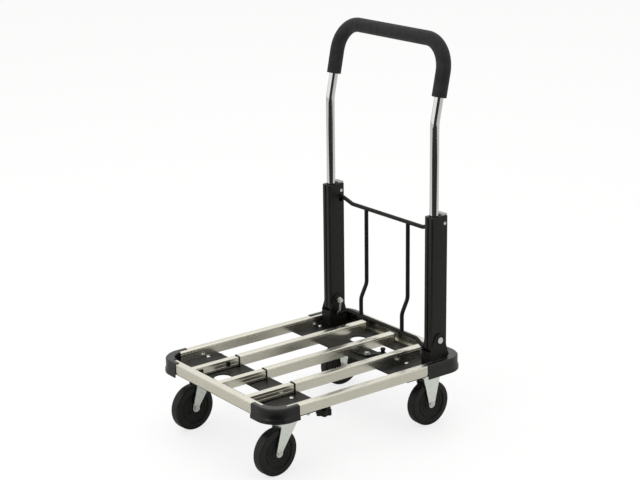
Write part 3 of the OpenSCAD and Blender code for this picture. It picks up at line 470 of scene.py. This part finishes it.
# %% [markdown]
# ## The deck lock's grip knob
# A small round-topped knob on a lever is the one piece a finger pushes. A turned section with a
# waist and a crowned top reads as a knob; a plain cylinder reads as a pin.
# %% Grip knob
CORE_R, KNOB_STEPS = 0.2 * MM, 48
low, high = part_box("lock_knob")
knob_r, knob_h = (high.x - low.x) / 2, high.z - low.z
knob_outline = rounded(
    [(CORE_R, 0), (knob_r * 0.8, 0), (knob_r * 0.78, knob_h * 0.3), (knob_r, knob_h * 0.55),
     (knob_r, knob_h * 0.9), (knob_r * 0.7, knob_h), (CORE_R, knob_h)],
    [0, 0.5 * MM, 1.2 * MM, 1.2 * MM, 1.6 * MM, 1.6 * MM, 0])
foot = Matrix.Translation(((low.x + high.x) / 2, (low.y + high.y) / 2, low.z))
link(turned("lock_knob_turned", knob_outline, KNOB_STEPS, foot), "lock_knob")
print("grip knob", round(knob_r * 2000, 1), "mm across")

# %% [markdown]
# ## Rods, tubes and wire
# The tube, the foam sleeve, the guard's rods and the springs are all one idea: a round section
# carried along a path. A Geometry Nodes tree does it from a line of points, so the path is the
# only thing each piece has to describe. A girth stored on the points lets a sleeve round its ends.
# %% Round section along a path
def socket(tree, name, kind, value=None, way="INPUT"):
    """Gives a tree a named input or output."""
    made = tree.interface.new_socket(name, in_out=way, socket_type=kind)
    if value is not None:
        made.default_value = value
    return made


def rod_tree():
    """A tree that carries a round section along every row of points."""
    tree = bpy.data.node_groups.new("round section along a path", "GeometryNodeTree")
    socket(tree, "Geometry", "NodeSocketGeometry")
    socket(tree, "Radius", "NodeSocketFloat", 4 * MM)
    socket(tree, "Sides", "NodeSocketInt", 24)
    socket(tree, "Finish", "NodeSocketMaterial")
    socket(tree, "Geometry", "NodeSocketGeometry", way="OUTPUT")
    given = tree.nodes.new("NodeGroupInput").outputs
    line = add(tree, "GeometryNodeMeshToCurve", {"Mesh": given["Geometry"]}).outputs["Curve"]
    girth = add(tree, "GeometryNodeInputNamedAttribute", {"Name": "girth"}, data_type="FLOAT")
    line = add(tree, "GeometryNodeSetCurveRadius",
               {"Curve": line, "Radius": girth.outputs["Attribute"]}).outputs["Curve"]
    ring = add(tree, "GeometryNodeCurvePrimitiveCircle",
               {"Resolution": given["Sides"], "Radius": given["Radius"]}).outputs["Curve"]
    tube = add(tree, "GeometryNodeCurveToMesh",
               {"Curve": line, "Profile Curve": ring, "Fill Caps": True}).outputs["Mesh"]
    real = add(tree, "GeometryNodeRealizeInstances", {"Geometry": tube}).outputs["Geometry"]
    done = add(tree, "GeometryNodeSetMaterial",
               {"Geometry": real, "Material": given["Finish"]}).outputs["Geometry"]
    tree.links.new(done, tree.nodes.new("NodeGroupOutput").inputs[0])
    return tree


ROD = rod_tree()


def grown(name, mesh, tree, values):
    """Runs a Geometry Nodes tree on a mesh and keeps the result as a plain mesh object."""
    carrier = bpy.data.objects.new(name, mesh)
    bpy.context.scene.collection.objects.link(carrier)
    modifier = carrier.modifiers.new("nodes", "NODES")
    modifier.node_group = tree
    for item in tree.interface.items_tree:
        if item.item_type == "SOCKET" and item.in_out == "INPUT" and item.name in values:
            modifier[item.identifier] = values[item.name]
    graph = bpy.context.evaluated_depsgraph_get()
    result = bpy.data.meshes.new_from_object(carrier.evaluated_get(graph))
    carrier.modifiers.remove(modifier)
    carrier.data = result
    smooth(result, ROUND)
    return carrier


def path_mesh(name, paths, girths=None):
    """Points joined in a row, one row for each path, with the girth that the tree reads."""
    points, edges, girth = [], [], []
    for index, path in enumerate(paths):
        start = len(points)
        points += [tuple(p) for p in path]
        edges += [(start + k, start + k + 1) for k in range(len(path) - 1)]
        girth += girths[index] if girths else [1.0] * len(path)
    mesh = bpy.data.meshes.new(name)
    mesh.from_pydata(points, edges, [])
    mesh.attributes.new("girth", "FLOAT", "POINT").data.foreach_set("value", girth)
    return mesh


def filleted(points, radii, step=math.radians(3)):
    """A route through corner points, each turned on an arc of its own radius."""
    route = [Vector(points[0])]
    for k in range(1, len(points) - 1):
        corner = Vector(points[k])
        back = (Vector(points[k - 1]) - corner).normalized()
        ahead = (Vector(points[k + 1]) - corner).normalized()
        turn = math.pi - back.angle(ahead)
        run = radii[k - 1] * math.tan(turn / 2)
        centre = corner + (back + ahead).normalized() * radii[k - 1] / math.cos(turn / 2)
        start, count = corner + back * run - centre, max(2, round(turn / step))
        axis = back.cross(ahead).normalized()
        for s in range(count + 1):
            route.append(centre + Matrix.Rotation(-turn * s / count, 3, axis) @ start)
    route.append(Vector(points[-1]))
    return route


print("tree has", len(ROD.nodes), "nodes")

# %% [markdown]
# ## The telescopic tube
# One length of chromed tube rises out of each upright, leans back and turns over at the top. The
# frame gives its straight ends; the bend is drawn here with a true bending radius, because in
# polished metal a kink shows at once. A much larger radius would run the bend into the collars when
# the handle is pushed in. The lever holes are cut afterwards, for true depth.
# %% Telescopic tube
LEAN = math.radians(11.5)
CORNER_R, BEND_R = 62 * MM, 76 * MM
low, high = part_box("handle_tube")
upright_y = sum(c.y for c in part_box("upright_left")) / 2
tube_r = high.y - upright_y
tube_x, cross_x, cross_z = low.x + tube_r, high.x - tube_r, high.z - tube_r
bend_z = cross_z - (cross_x - tube_x) / math.tan(LEAN)
leg_foot = Vector((tube_x, 0, low.z))


def bow_corners(start):
    """The tube's corner points from one foot to the other, starting at a given point of the right leg."""
    half = [Vector((tube_x, 0, bend_z)), Vector((cross_x, 0, cross_z))]
    points = [start] + half if start.z < bend_z else [start, half[1]]
    right = [Vector((p.x, -upright_y, p.z)) for p in points]
    return right + [Vector((p.x, upright_y, p.z)) for p in reversed(points)]


tube_route = filleted(bow_corners(leg_foot), [BEND_R, CORNER_R, CORNER_R, BEND_R])
tube = grown("telescopic_tube", path_mesh("tube path", [tube_route]), ROD,
             {"Radius": tube_r, "Sides": 48, "Finish": chrome})
print("tube from z", round(low.z, 4), "bends at", round(bend_z, 4), "and crosses at", round(cross_z, 4))

# %% Lever holes
HOLE_R, HOLE_DEPTH = 3.5 * MM, 1.44 * tube_r
NOSE_RISE = 2 * MM
lever_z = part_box("height_lever_left")[0].z + NOSE_RISE
travel = next(j["range_m"][1] for j in frame["joints"] if j["name"] == "tube_slide")
cutter = bmesh.new()
for side in (-1, 1):
    for rise in (0, travel / 2, travel):
        spot = Matrix.Translation((tube_x + tube_r, side * upright_y, lever_z + rise))
        bmesh.ops.create_cone(cutter, cap_ends=True, segments=32, radius1=HOLE_R, radius2=HOLE_R,
                              depth=HOLE_DEPTH, matrix=spot @ Matrix.Rotation(math.pi / 2, 4, "Y"))
cut_mesh = bpy.data.meshes.new("hole cutter")
cutter.to_mesh(cut_mesh)
cutter.free()
cut = bpy.data.objects.new("hole cutter", cut_mesh)
bpy.context.scene.collection.objects.link(cut)
drill = tube.modifiers.new("drill", "BOOLEAN")
drill.object, drill.operation, drill.solver = cut, "DIFFERENCE", "EXACT"
graph = bpy.context.evaluated_depsgraph_get()
drilled = bpy.data.meshes.new_from_object(tube.evaluated_get(graph))
tube.modifiers.remove(drill)
tube.data = drilled
bpy.data.objects.remove(cut)
smooth(drilled, ROUND)
link(tube, "handle_tube")
print("tube has", len(drilled.polygons), "faces after drilling")

# %% [markdown]
# ## The foam grip
# A foam sleeve is pushed over the bow. Foam cut to length has soft ends that pull in a little, and
# the sleeve follows the tube's own corners. The girth on the path does the ends; the section is
# wider than the tube by the foam's wall.
# %% Foam grip
grip_low, grip_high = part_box("hand_grip")
grip_r = grip_high.y - upright_y
along = (grip_low.z + grip_r * math.sin(LEAN) - bend_z) / math.cos(LEAN)
grip_foot = Vector((tube_x + along * math.sin(LEAN), 0, bend_z + along * math.cos(LEAN)))
END_ROUND, END_STEPS = 3.2 * MM, 8
route = filleted(bow_corners(grip_foot), [CORNER_R, CORNER_R])
first, last = (route[1] - route[0]).normalized(), (route[-2] - route[-1]).normalized()
head, tail, girths_head = [], [], []
for s in range(END_STEPS + 1):
    angle = math.pi / 2 * s / END_STEPS
    run = END_ROUND * (1 - math.cos(angle))
    head.append(route[0] + first * run)
    tail.append(route[-1] + last * run)
    girths_head.append((grip_r - END_ROUND * (1 - math.sin(angle))) / grip_r)
sleeve = head + route[1:-1] + tail[::-1]
girths = girths_head + [1.0] * (len(route) - 2) + girths_head[::-1]
grip = grown("foam_grip", path_mesh("grip path", [sleeve], [girths]), ROD,
             {"Radius": grip_r, "Sides": 64, "Finish": grip_foam})
link(grip, "hand_grip")
print("grip", round(grip_r * 2000, 1), "mm thick")

# %% [markdown]
# ## The guard
# Round black rod is bent cold and welded: an upper bar whose ends dip into the uprights, a lower bar
# and two kinked rods between them. A real bend has a radius a few times the rod's own, so the routes
# go through the same filleting as the tube. The rods run into each other where they are welded.
# %% Guard
BAR_DROP, BAR_RISE = 9.5 * MM, 16 * MM
BEND_IN, ROD_OUT = 55 * MM, 70 * MM
KINK_TOP, KINK_LOW = 60 * MM, 28 * MM
TOP_BEND_R, LOW_BEND_R, KINK_R = 20 * MM, 14 * MM, 26 * MM
TOP_END, HOOK_END, HOOK_BEND = 14 * MM, 5 * MM, 4 * MM
pivot = joint_at["handle_fold"]
guard_low, guard_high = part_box("guard")
rod_r = 4.5 * MM
guard_x = guard_high.x - rod_r
low_x = guard_low.x + rod_r
end_y = guard_high.y
end_z, hook_z = guard_high.z - rod_r, guard_low.z + rod_r
mid_z, foot_z = end_z - BAR_DROP, hook_z + BAR_RISE
bend_y = upright_y - BEND_IN


def mirrored(half):
    """A route given from its far end to the middle, made whole by its mirror image."""
    return [Vector((p[0], -p[1], p[2])) for p in half] + [Vector(p) for p in reversed(half)]


top_bar = filleted(mirrored([(guard_x, end_y, end_z), (guard_x, end_y - TOP_END, end_z),
                             (guard_x, bend_y, mid_z)]), [TOP_BEND_R] * 4)
SPRING_HALF = 2.6 * MM
spring_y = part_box("guard_springs")[1].y - SPRING_HALF
low_bar = filleted(mirrored([(low_x, spring_y + HOOK_END, hook_z),
                             (low_x, spring_y - HOOK_BEND, hook_z),
                             (low_x, bend_y, foot_z)]), [LOW_BEND_R] * 4)
stays = [filleted([(guard_x, s * ROD_OUT, mid_z), (guard_x, s * ROD_OUT, pivot.z + KINK_TOP),
                   (low_x, s * ROD_OUT, pivot.z + KINK_LOW), (low_x, s * ROD_OUT, foot_z)],
                  [KINK_R] * 2) for s in (-1, 1)]
guard = grown("wire_guard", path_mesh("guard paths", [top_bar, low_bar] + stays), ROD,
              {"Radius": rod_r, "Sides": 32, "Finish": powder_coat})
link(guard, "guard")
print("guard rods", round(rod_r * 2000, 1), "mm")

# %% [markdown]
# ## Springs
# A tension spring hooks over each fold pivot's stub and under the guard, and pulls the guard up. A
# torsion spring sits round each lever pin. Both are one wire, so a helix is worked out by a formula
# and carried through the same tree. The guard's springs stretch when the guard is pressed.
# %% Spring routes
WIRE_R = 0.45 * MM
STEPS_A_TURN, WIRE_SIDES = 20, 8
COIL_TURNS, PIN_GAP, BAR_GAP = 9, 6 * MM, 7 * MM
PIN_HOOK_R, BAR_HOOK_SLACK = 3.6 * MM, 0.6 * MM


def helix(top, bottom, radius, turns):
    """Points of a coil from top to bottom, about the line between them."""
    axis = bottom - top
    side = axis.orthogonal().normalized()
    other = axis.normalized().cross(side)
    count = round(turns * STEPS_A_TURN)
    return [top + axis * (k / count) + radius * (side * math.cos(2 * math.pi * k / STEPS_A_TURN)
            + other * math.sin(2 * math.pi * k / STEPS_A_TURN)) for k in range(count + 1)]


def hook(centre, towards, radius):
    """Most of a turn of wire round a pin that runs along Y, opening away from the given direction."""
    start = math.atan2(towards.z, towards.x)
    return [centre + radius * Vector((math.cos(start + a), 0, math.sin(start + a)))
            for a in [math.radians(d) for d in range(-150, 151, 15)]]


coils = []
for side in (-1, 1):
    pin = Vector((pivot.x, side * spring_y, pivot.z))
    bar = Vector((low_x, side * spring_y, hook_z))
    axis = (bar - pin).normalized()
    top, bottom = pin + axis * PIN_GAP, bar - axis * BAR_GAP
    coil = helix(top, bottom, SPRING_HALF - WIRE_R, COIL_TURNS)
    upper, lower = hook(pin, -axis, PIN_HOOK_R), hook(bar, axis, rod_r + BAR_HOOK_SLACK)
    coils.append(upper[::-1] + coil + lower)
tension = grown("guard_springs_coiled", path_mesh("spring paths", coils), ROD,
                {"Radius": WIRE_R, "Sides": WIRE_SIDES, "Finish": spring_metal})
tension.data.materials.clear()
tension.data.materials.append(spring_metal)
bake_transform(tension)
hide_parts("guard_springs")
print("tension springs with", len(tension.data.polygons), "faces")

# %% Torsion springs
TWIST_R, TWIST_HALF, TWIST_TURNS = 2.7 * MM, 2.2 * MM, 4
lever_pin = joint_at["lever_left_tilt"]
twists = []
for side in (-1, 1):
    centre = Vector((lever_pin.x, side * upright_y, lever_pin.z))
    reach = Vector((0, TWIST_HALF, 0))
    twists.append(helix(centre - reach, centre + reach, TWIST_R, TWIST_TURNS))
torsion = grown("lever_springs_coiled", path_mesh("torsion paths", twists), ROD,
                {"Radius": WIRE_R, "Sides": WIRE_SIDES, "Finish": spring_metal})
link(torsion, "lever_springs")
print("torsion springs with", len(torsion.data.polygons), "faces")

# %% [markdown]
# ## Bolts and cap nuts
# The cart's bolts and cap nuts are the same two parts over and over. Each is made once in mesh
# code, and a tree puts a copy on every point where the frame has one, turned by a seeded random
# angle, because nobody lines up the sockets of a real row of bolts.
# %% A tree that repeats a part
def repeat_tree():
    """A tree that puts one part on every point, each at a seeded random turn about Z."""
    tree = bpy.data.node_groups.new("one part at every point", "GeometryNodeTree")
    socket(tree, "Geometry", "NodeSocketGeometry")
    socket(tree, "Part", "NodeSocketObject")
    socket(tree, "Seed", "NodeSocketInt", 4)
    socket(tree, "Finish", "NodeSocketMaterial")
    socket(tree, "Geometry", "NodeSocketGeometry", way="OUTPUT")
    given = tree.nodes.new("NodeGroupInput").outputs
    part = add(tree, "GeometryNodeObjectInfo", {"Object": given["Part"]}).outputs["Geometry"]
    turn = add(tree, "FunctionNodeRandomValue", {"Seed": given["Seed"]}, data_type="FLOAT")
    turn.inputs[3].default_value = 2 * math.pi
    angles = add(tree, "ShaderNodeCombineXYZ", {"Z": turn.outputs[1]}).outputs[0]
    copies = add(tree, "GeometryNodeInstanceOnPoints",
                 {"Points": given["Geometry"], "Instance": part, "Rotation": angles}).outputs["Instances"]
    real = add(tree, "GeometryNodeRealizeInstances", {"Geometry": copies}).outputs["Geometry"]
    done = add(tree, "GeometryNodeSetMaterial",
               {"Geometry": real, "Material": given["Finish"]}).outputs["Geometry"]
    tree.links.new(done, tree.nodes.new("NodeGroupOutput").inputs[0])
    return tree


REPEAT = repeat_tree()


def solids_of(node):
    """The (lowest, highest) corners of each separate solid in a node."""
    mesh = frame["nodes"][node].data
    whole = bmesh.new()
    whole.from_mesh(mesh)
    bmesh.ops.remove_doubles(whole, verts=whole.verts, dist=MERGE)
    seen, boxes = set(), []
    for seed in whole.verts:
        if seed.index in seen:
            continue
        stack, found = [seed], []
        seen.add(seed.index)
        while stack:
            vert = stack.pop()
            found.append(vert.co.copy())
            for edge in vert.link_edges:
                other = edge.other_vert(vert)
                if other.index not in seen:
                    seen.add(other.index)
                    stack.append(other)
        boxes.append((Vector(map(min, zip(*found))), Vector(map(max, zip(*found)))))
    whole.free()
    return boxes


print({node: len(solids_of(node)) for node in ("bracket_bolts", "rear_caster_nuts")})

# %% Stacked rings
RING_STEPS = 36
DOME_STEPS = 7


def stacked(name, levels):
    """A closed solid through rings of (radius, z) or, for a hexagon, (radius, z, True)."""
    bm = bmesh.new()
    rings = []
    for radius, z, *hexed in levels:
        ring = []
        for k in range(RING_STEPS):
            angle = 2 * math.pi * k / RING_STEPS
            flat = math.cos(math.pi / 6) / math.cos((angle % (math.pi / 3)) - math.pi / 6)
            r = radius * (flat if hexed else 1)
            ring.append(bm.verts.new((r * math.cos(angle), r * math.sin(angle), z)))
        rings.append(ring)
    for here, there in zip(rings, rings[1:]):
        for k in range(RING_STEPS):
            after = (k + 1) % RING_STEPS
            bm.faces.new((here[k], here[after], there[after], there[k]))
    bm.faces.new(rings[-1])
    bm.faces.new(rings[0][::-1])
    bmesh.ops.recalc_face_normals(bm, faces=bm.faces)
    mesh = bpy.data.meshes.new(name)
    bm.to_mesh(mesh)
    bm.free()
    return mesh


print("rings of", RING_STEPS, "points")

# %% A socket-head bolt and a cap nut
def socket_bolt(head_r, head_h, shank_r, length):
    """A domed head with a hexagon socket, on its shank; z = 0 is the seat."""
    depth, recess, rim = head_h * 0.6, head_r * 0.42, 0.12
    levels = [(shank_r, -length), (shank_r, 0), (head_r * 0.98, 0), (head_r, head_h * rim)]
    for k in range(1, DOME_STEPS):
        angle = math.pi / 2 * k / DOME_STEPS
        height = head_h * (rim + (1 - rim) * math.sin(angle))
        levels.append((head_r * (0.5 + 0.5 * math.cos(angle)), height))
    levels += [(recess * 1.06, head_h, True), (recess, head_h * 0.96, True),
               (recess, head_h - depth, True)]
    return stacked("socket bolt", levels)


def cap_nut(hex_r, cap_r, height, seat_r):
    """A hexagon with a domed cap, hanging down from its seat at z = 0."""
    washer, shoulder, chamfer = height * 0.11, height * 0.51, 0.5 * MM
    levels = [(seat_r * 0.98, 0), (seat_r, -washer * 0.3), (seat_r, -washer), (hex_r, -washer, True),
              (hex_r, -shoulder + chamfer, True), (hex_r * 0.93, -shoulder), (cap_r, -shoulder)]
    for k in range(DOME_STEPS):
        angle = math.pi / 2 * k / DOME_STEPS
        levels.append((cap_r * math.cos(angle), -(height - cap_r) - cap_r * math.sin(angle)))
    return stacked("cap nut", levels)


print("two fastener shapes ready")

# %% Rows of fasteners
HEAD_H, SHANK_R = 3 * MM, 3 * MM
NUT_HEX_R, NUT_CAP_R = 5.6 * MM, 4.6 * MM
placed = {}


def repeated(node, mesh, spots, seed):
    """Puts one part at each spot and lets the result stand for the node."""
    part = bpy.data.objects.new(node + " part", mesh)
    points = bpy.data.meshes.new(node + " points")
    points.from_pydata([tuple(spot) for spot in spots], [], [])
    row = grown(node + "_row", points, REPEAT, {"Part": part, "Seed": seed, "Finish": bolt_metal})
    bpy.data.objects.remove(part)
    placed[node] = len(spots)
    return link(row, node)


for seed, node in enumerate(("bracket_bolts", "rear_caster_bolts", "front_caster_bolts")):
    boxes = solids_of(node)
    low, high = boxes[0]
    bolt = socket_bolt((high.x - low.x) / 2, HEAD_H, SHANK_R, high.z - low.z - HEAD_H)
    seats = [Vector(((a.x + b.x) / 2, (a.y + b.y) / 2, b.z - HEAD_H)) for a, b in boxes]
    repeated(node, bolt, seats, seed + 1)
for seed, node in enumerate(("rear_caster_nuts", "front_caster_nuts")):
    boxes = solids_of(node)
    low, high = boxes[0]
    nut = cap_nut(NUT_HEX_R, NUT_CAP_R, high.z - low.z, (high.x - low.x) / 2)
    seats = [Vector(((a.x + b.x) / 2, (a.y + b.y) / 2, b.z)) for a, b in boxes]
    repeated(node, nut, seats, seed + 7)
print(placed)

# %% [markdown]
# ## Floor, light and camera
# A pale floor and a bright, even room suit a product picture, with large soft lights for the
# modelling. Chrome and bright aluminium show only what surrounds them, though, so the room needs
# some dark as well: two dark cards stand on the viewer's side, where nothing but a reflection can
# find them, and mirrored rays see a darker floor. Towards the camera the floor glows a little by
# itself, which keeps it near white and the shadows faint.
# %% Floor
FLOOR_HALF = 12.0
FLOOR_FILL = 0.75
floor_mesh = bpy.data.meshes.new("floor")
floor_mesh.from_pydata([(-FLOOR_HALF, -FLOOR_HALF, 0), (FLOOR_HALF, -FLOOR_HALF, 0),
                        (FLOOR_HALF, FLOOR_HALF, 0), (-FLOOR_HALF, FLOOR_HALF, 0)], [], [(0, 1, 2, 3)])
floor = bpy.data.objects.new("floor", floor_mesh)
bpy.context.scene.collection.objects.link(floor)
floor_paint, floor_tree, floor_shader = finish("floor_paint", (0.9, 0.9, 0.9), roughness=0.8,
                                               specular_ior_level=0.1)
# Mirrored rays see the floor painted a darker grey: painted shade that the metals reflect, not a colour of the
# floor.
mirrored_ray = add(floor_tree, "ShaderNodeLightPath").outputs["Is Glossy Ray"]
reflected_floor_shade = add(floor_tree, "ShaderNodeMix", {"Factor": mirrored_ray, 6: (0.9, 0.9, 0.9, 1),
                                             7: (0.56, 0.56, 0.54, 1)}, data_type="RGBA")
floor_tree.links.new(reflected_floor_shade.outputs[2], floor_shader.inputs["Base Color"])
lit = add(floor_tree, "ShaderNodeEmission", {"Color": (1, 1, 1, 1)})
seen = add(floor_tree, "ShaderNodeLightPath").outputs["Is Camera Ray"]
share = add(floor_tree, "ShaderNodeMath", {0: seen, 1: FLOOR_FILL}, operation="MULTIPLY").outputs[0]
filled = add(floor_tree, "ShaderNodeMixShader", {0: share, 1: floor_shader.outputs[0], 2: lit.outputs[0]})
output = next(n for n in floor_tree.nodes if n.type == "OUTPUT_MATERIAL")
floor_tree.links.new(filled.outputs[0], output.inputs["Surface"])
floor_mesh.materials.append(floor_paint)
print("floor", FLOOR_HALF * 2, "m square")

# %% World
world = bpy.data.worlds.new("studio")
bpy.context.scene.world = world
world.use_nodes = True
tree = world.node_tree
tree.nodes.clear()
room = add(tree, "ShaderNodeBackground", {"Color": (1.0, 0.995, 0.98, 1), "Strength": 0.9})
plain = add(tree, "ShaderNodeBackground", {"Color": (1, 1, 1, 1), "Strength": 1.0})
seen = add(tree, "ShaderNodeLightPath").outputs["Is Camera Ray"]
mixed = add(tree, "ShaderNodeMixShader", {0: seen, 1: room.outputs[0], 2: plain.outputs[0]})
tree.links.new(mixed.outputs[0], add(tree, "ShaderNodeOutputWorld").inputs["Surface"])
print("world ready")

# %% Cards
VIEW_AZIMUTH = math.radians(-36.01)
CARD_LEVEL = 0.03
TOWARD_VIEWER = Vector((math.sin(VIEW_AZIMUTH), -math.cos(VIEW_AZIMUTH), 0))


def card(name, centre, width, depth, facing):
    """A flat card of even brightness that shows only in reflections."""
    side = facing.cross(Vector((0, 0, 1))) if abs(facing.z) < 0.9 else TOWARD_VIEWER.cross(facing)
    side.normalize()
    other = side.cross(facing).normalized()
    corners = [centre + side * width / 2 * a + other * depth / 2 * b
               for a, b in ((-1, -1), (1, -1), (1, 1), (-1, 1))]
    mesh = bpy.data.meshes.new(name)
    mesh.from_pydata([tuple(c) for c in corners], [], [(0, 1, 2, 3)])
    paint = bpy.data.materials.new(name)
    paint.use_nodes = True
    paint.node_tree.nodes.clear()
    glow = add(paint.node_tree, "ShaderNodeEmission", {"Color": (*[CARD_LEVEL] * 3, 1)})
    paint.node_tree.links.new(glow.outputs[0],
                              add(paint.node_tree, "ShaderNodeOutputMaterial").inputs["Surface"])
    mesh.materials.append(paint)
    obj = bpy.data.objects.new(name, mesh)
    bpy.context.scene.collection.objects.link(obj)
    for ray in ("camera", "diffuse", "shadow", "transmission", "volume_scatter"):
        setattr(obj, "visible_" + ray, False)


CARD_WIDTH, FLOOR_CARD_DEPTH, WALL_CARD_HEIGHT = 5.2, 3.0, 2.2
card("dark_floor_card", TOWARD_VIEWER * 2.4 + Vector((0, 0, 2 * MM)), CARD_WIDTH, FLOOR_CARD_DEPTH,
     Vector((0, 0, 1)))
card("dark_wall_card", TOWARD_VIEWER * 3.9 + Vector((0, 0, WALL_CARD_HEIGHT / 2)), CARD_WIDTH,
     WALL_CARD_HEIGHT, -TOWARD_VIEWER)
print("two cards")

# %% Lights
AIM = Vector((0, 0, 0.35))


def softbox(name, place, size, brightness):
    """A soft rectangular light; its power follows from how bright its face should be."""
    lamp = bpy.data.lights.new(name, "AREA")
    lamp.shape, lamp.size, lamp.size_y = "RECTANGLE", size[0], size[1]
    lamp.energy = brightness * math.pi * size[0] * size[1]
    holder = bpy.data.objects.new(name, lamp)
    holder.location = place
    holder.rotation_mode = "QUATERNION"
    holder.rotation_quaternion = (AIM - Vector(place)).to_track_quat("-Z", "Y")
    bpy.context.scene.collection.objects.link(holder)


softbox("key", (-3.2, -0.6, 2.6), (1.6, 2.4), 2.6)
softbox("top", (0.2, 0.4, 3.6), (3.0, 3.0), 1.0)
softbox("rim", (2.6, 3.0, 3.3), (2.4, 1.8), 0.6)
print("three lights")

# %% Camera
ELEVATION, ROLL = math.radians(17.17), math.radians(-1.18)
DISTANCE, TARGET = 3.41412, Vector((-0.0497, 0.0300, 0.4000))
back = TOWARD_VIEWER * math.cos(ELEVATION) + Vector((0, 0, math.sin(ELEVATION)))
level = Vector((math.cos(VIEW_AZIMUTH), math.sin(VIEW_AZIMUTH), 0))
rise = back.cross(level)
right = math.cos(ROLL) * level + math.sin(ROLL) * rise
up = math.cos(ROLL) * rise - math.sin(ROLL) * level
lens = bpy.data.cameras.new("camera")
lens.lens = 91.55
lens.shift_x, lens.shift_y = 0.0597, 0.0156
camera = bpy.data.objects.new("camera", lens)
turn = Matrix((right, up, back)).transposed().to_4x4()
camera.matrix_world = Matrix.Translation(TARGET + back * DISTANCE) @ turn
bpy.context.scene.collection.objects.link(camera)
bpy.context.scene.camera = camera
bpy.context.scene.view_settings.view_transform = "Standard"
print("camera at", [round(x, 3) for x in camera.location])
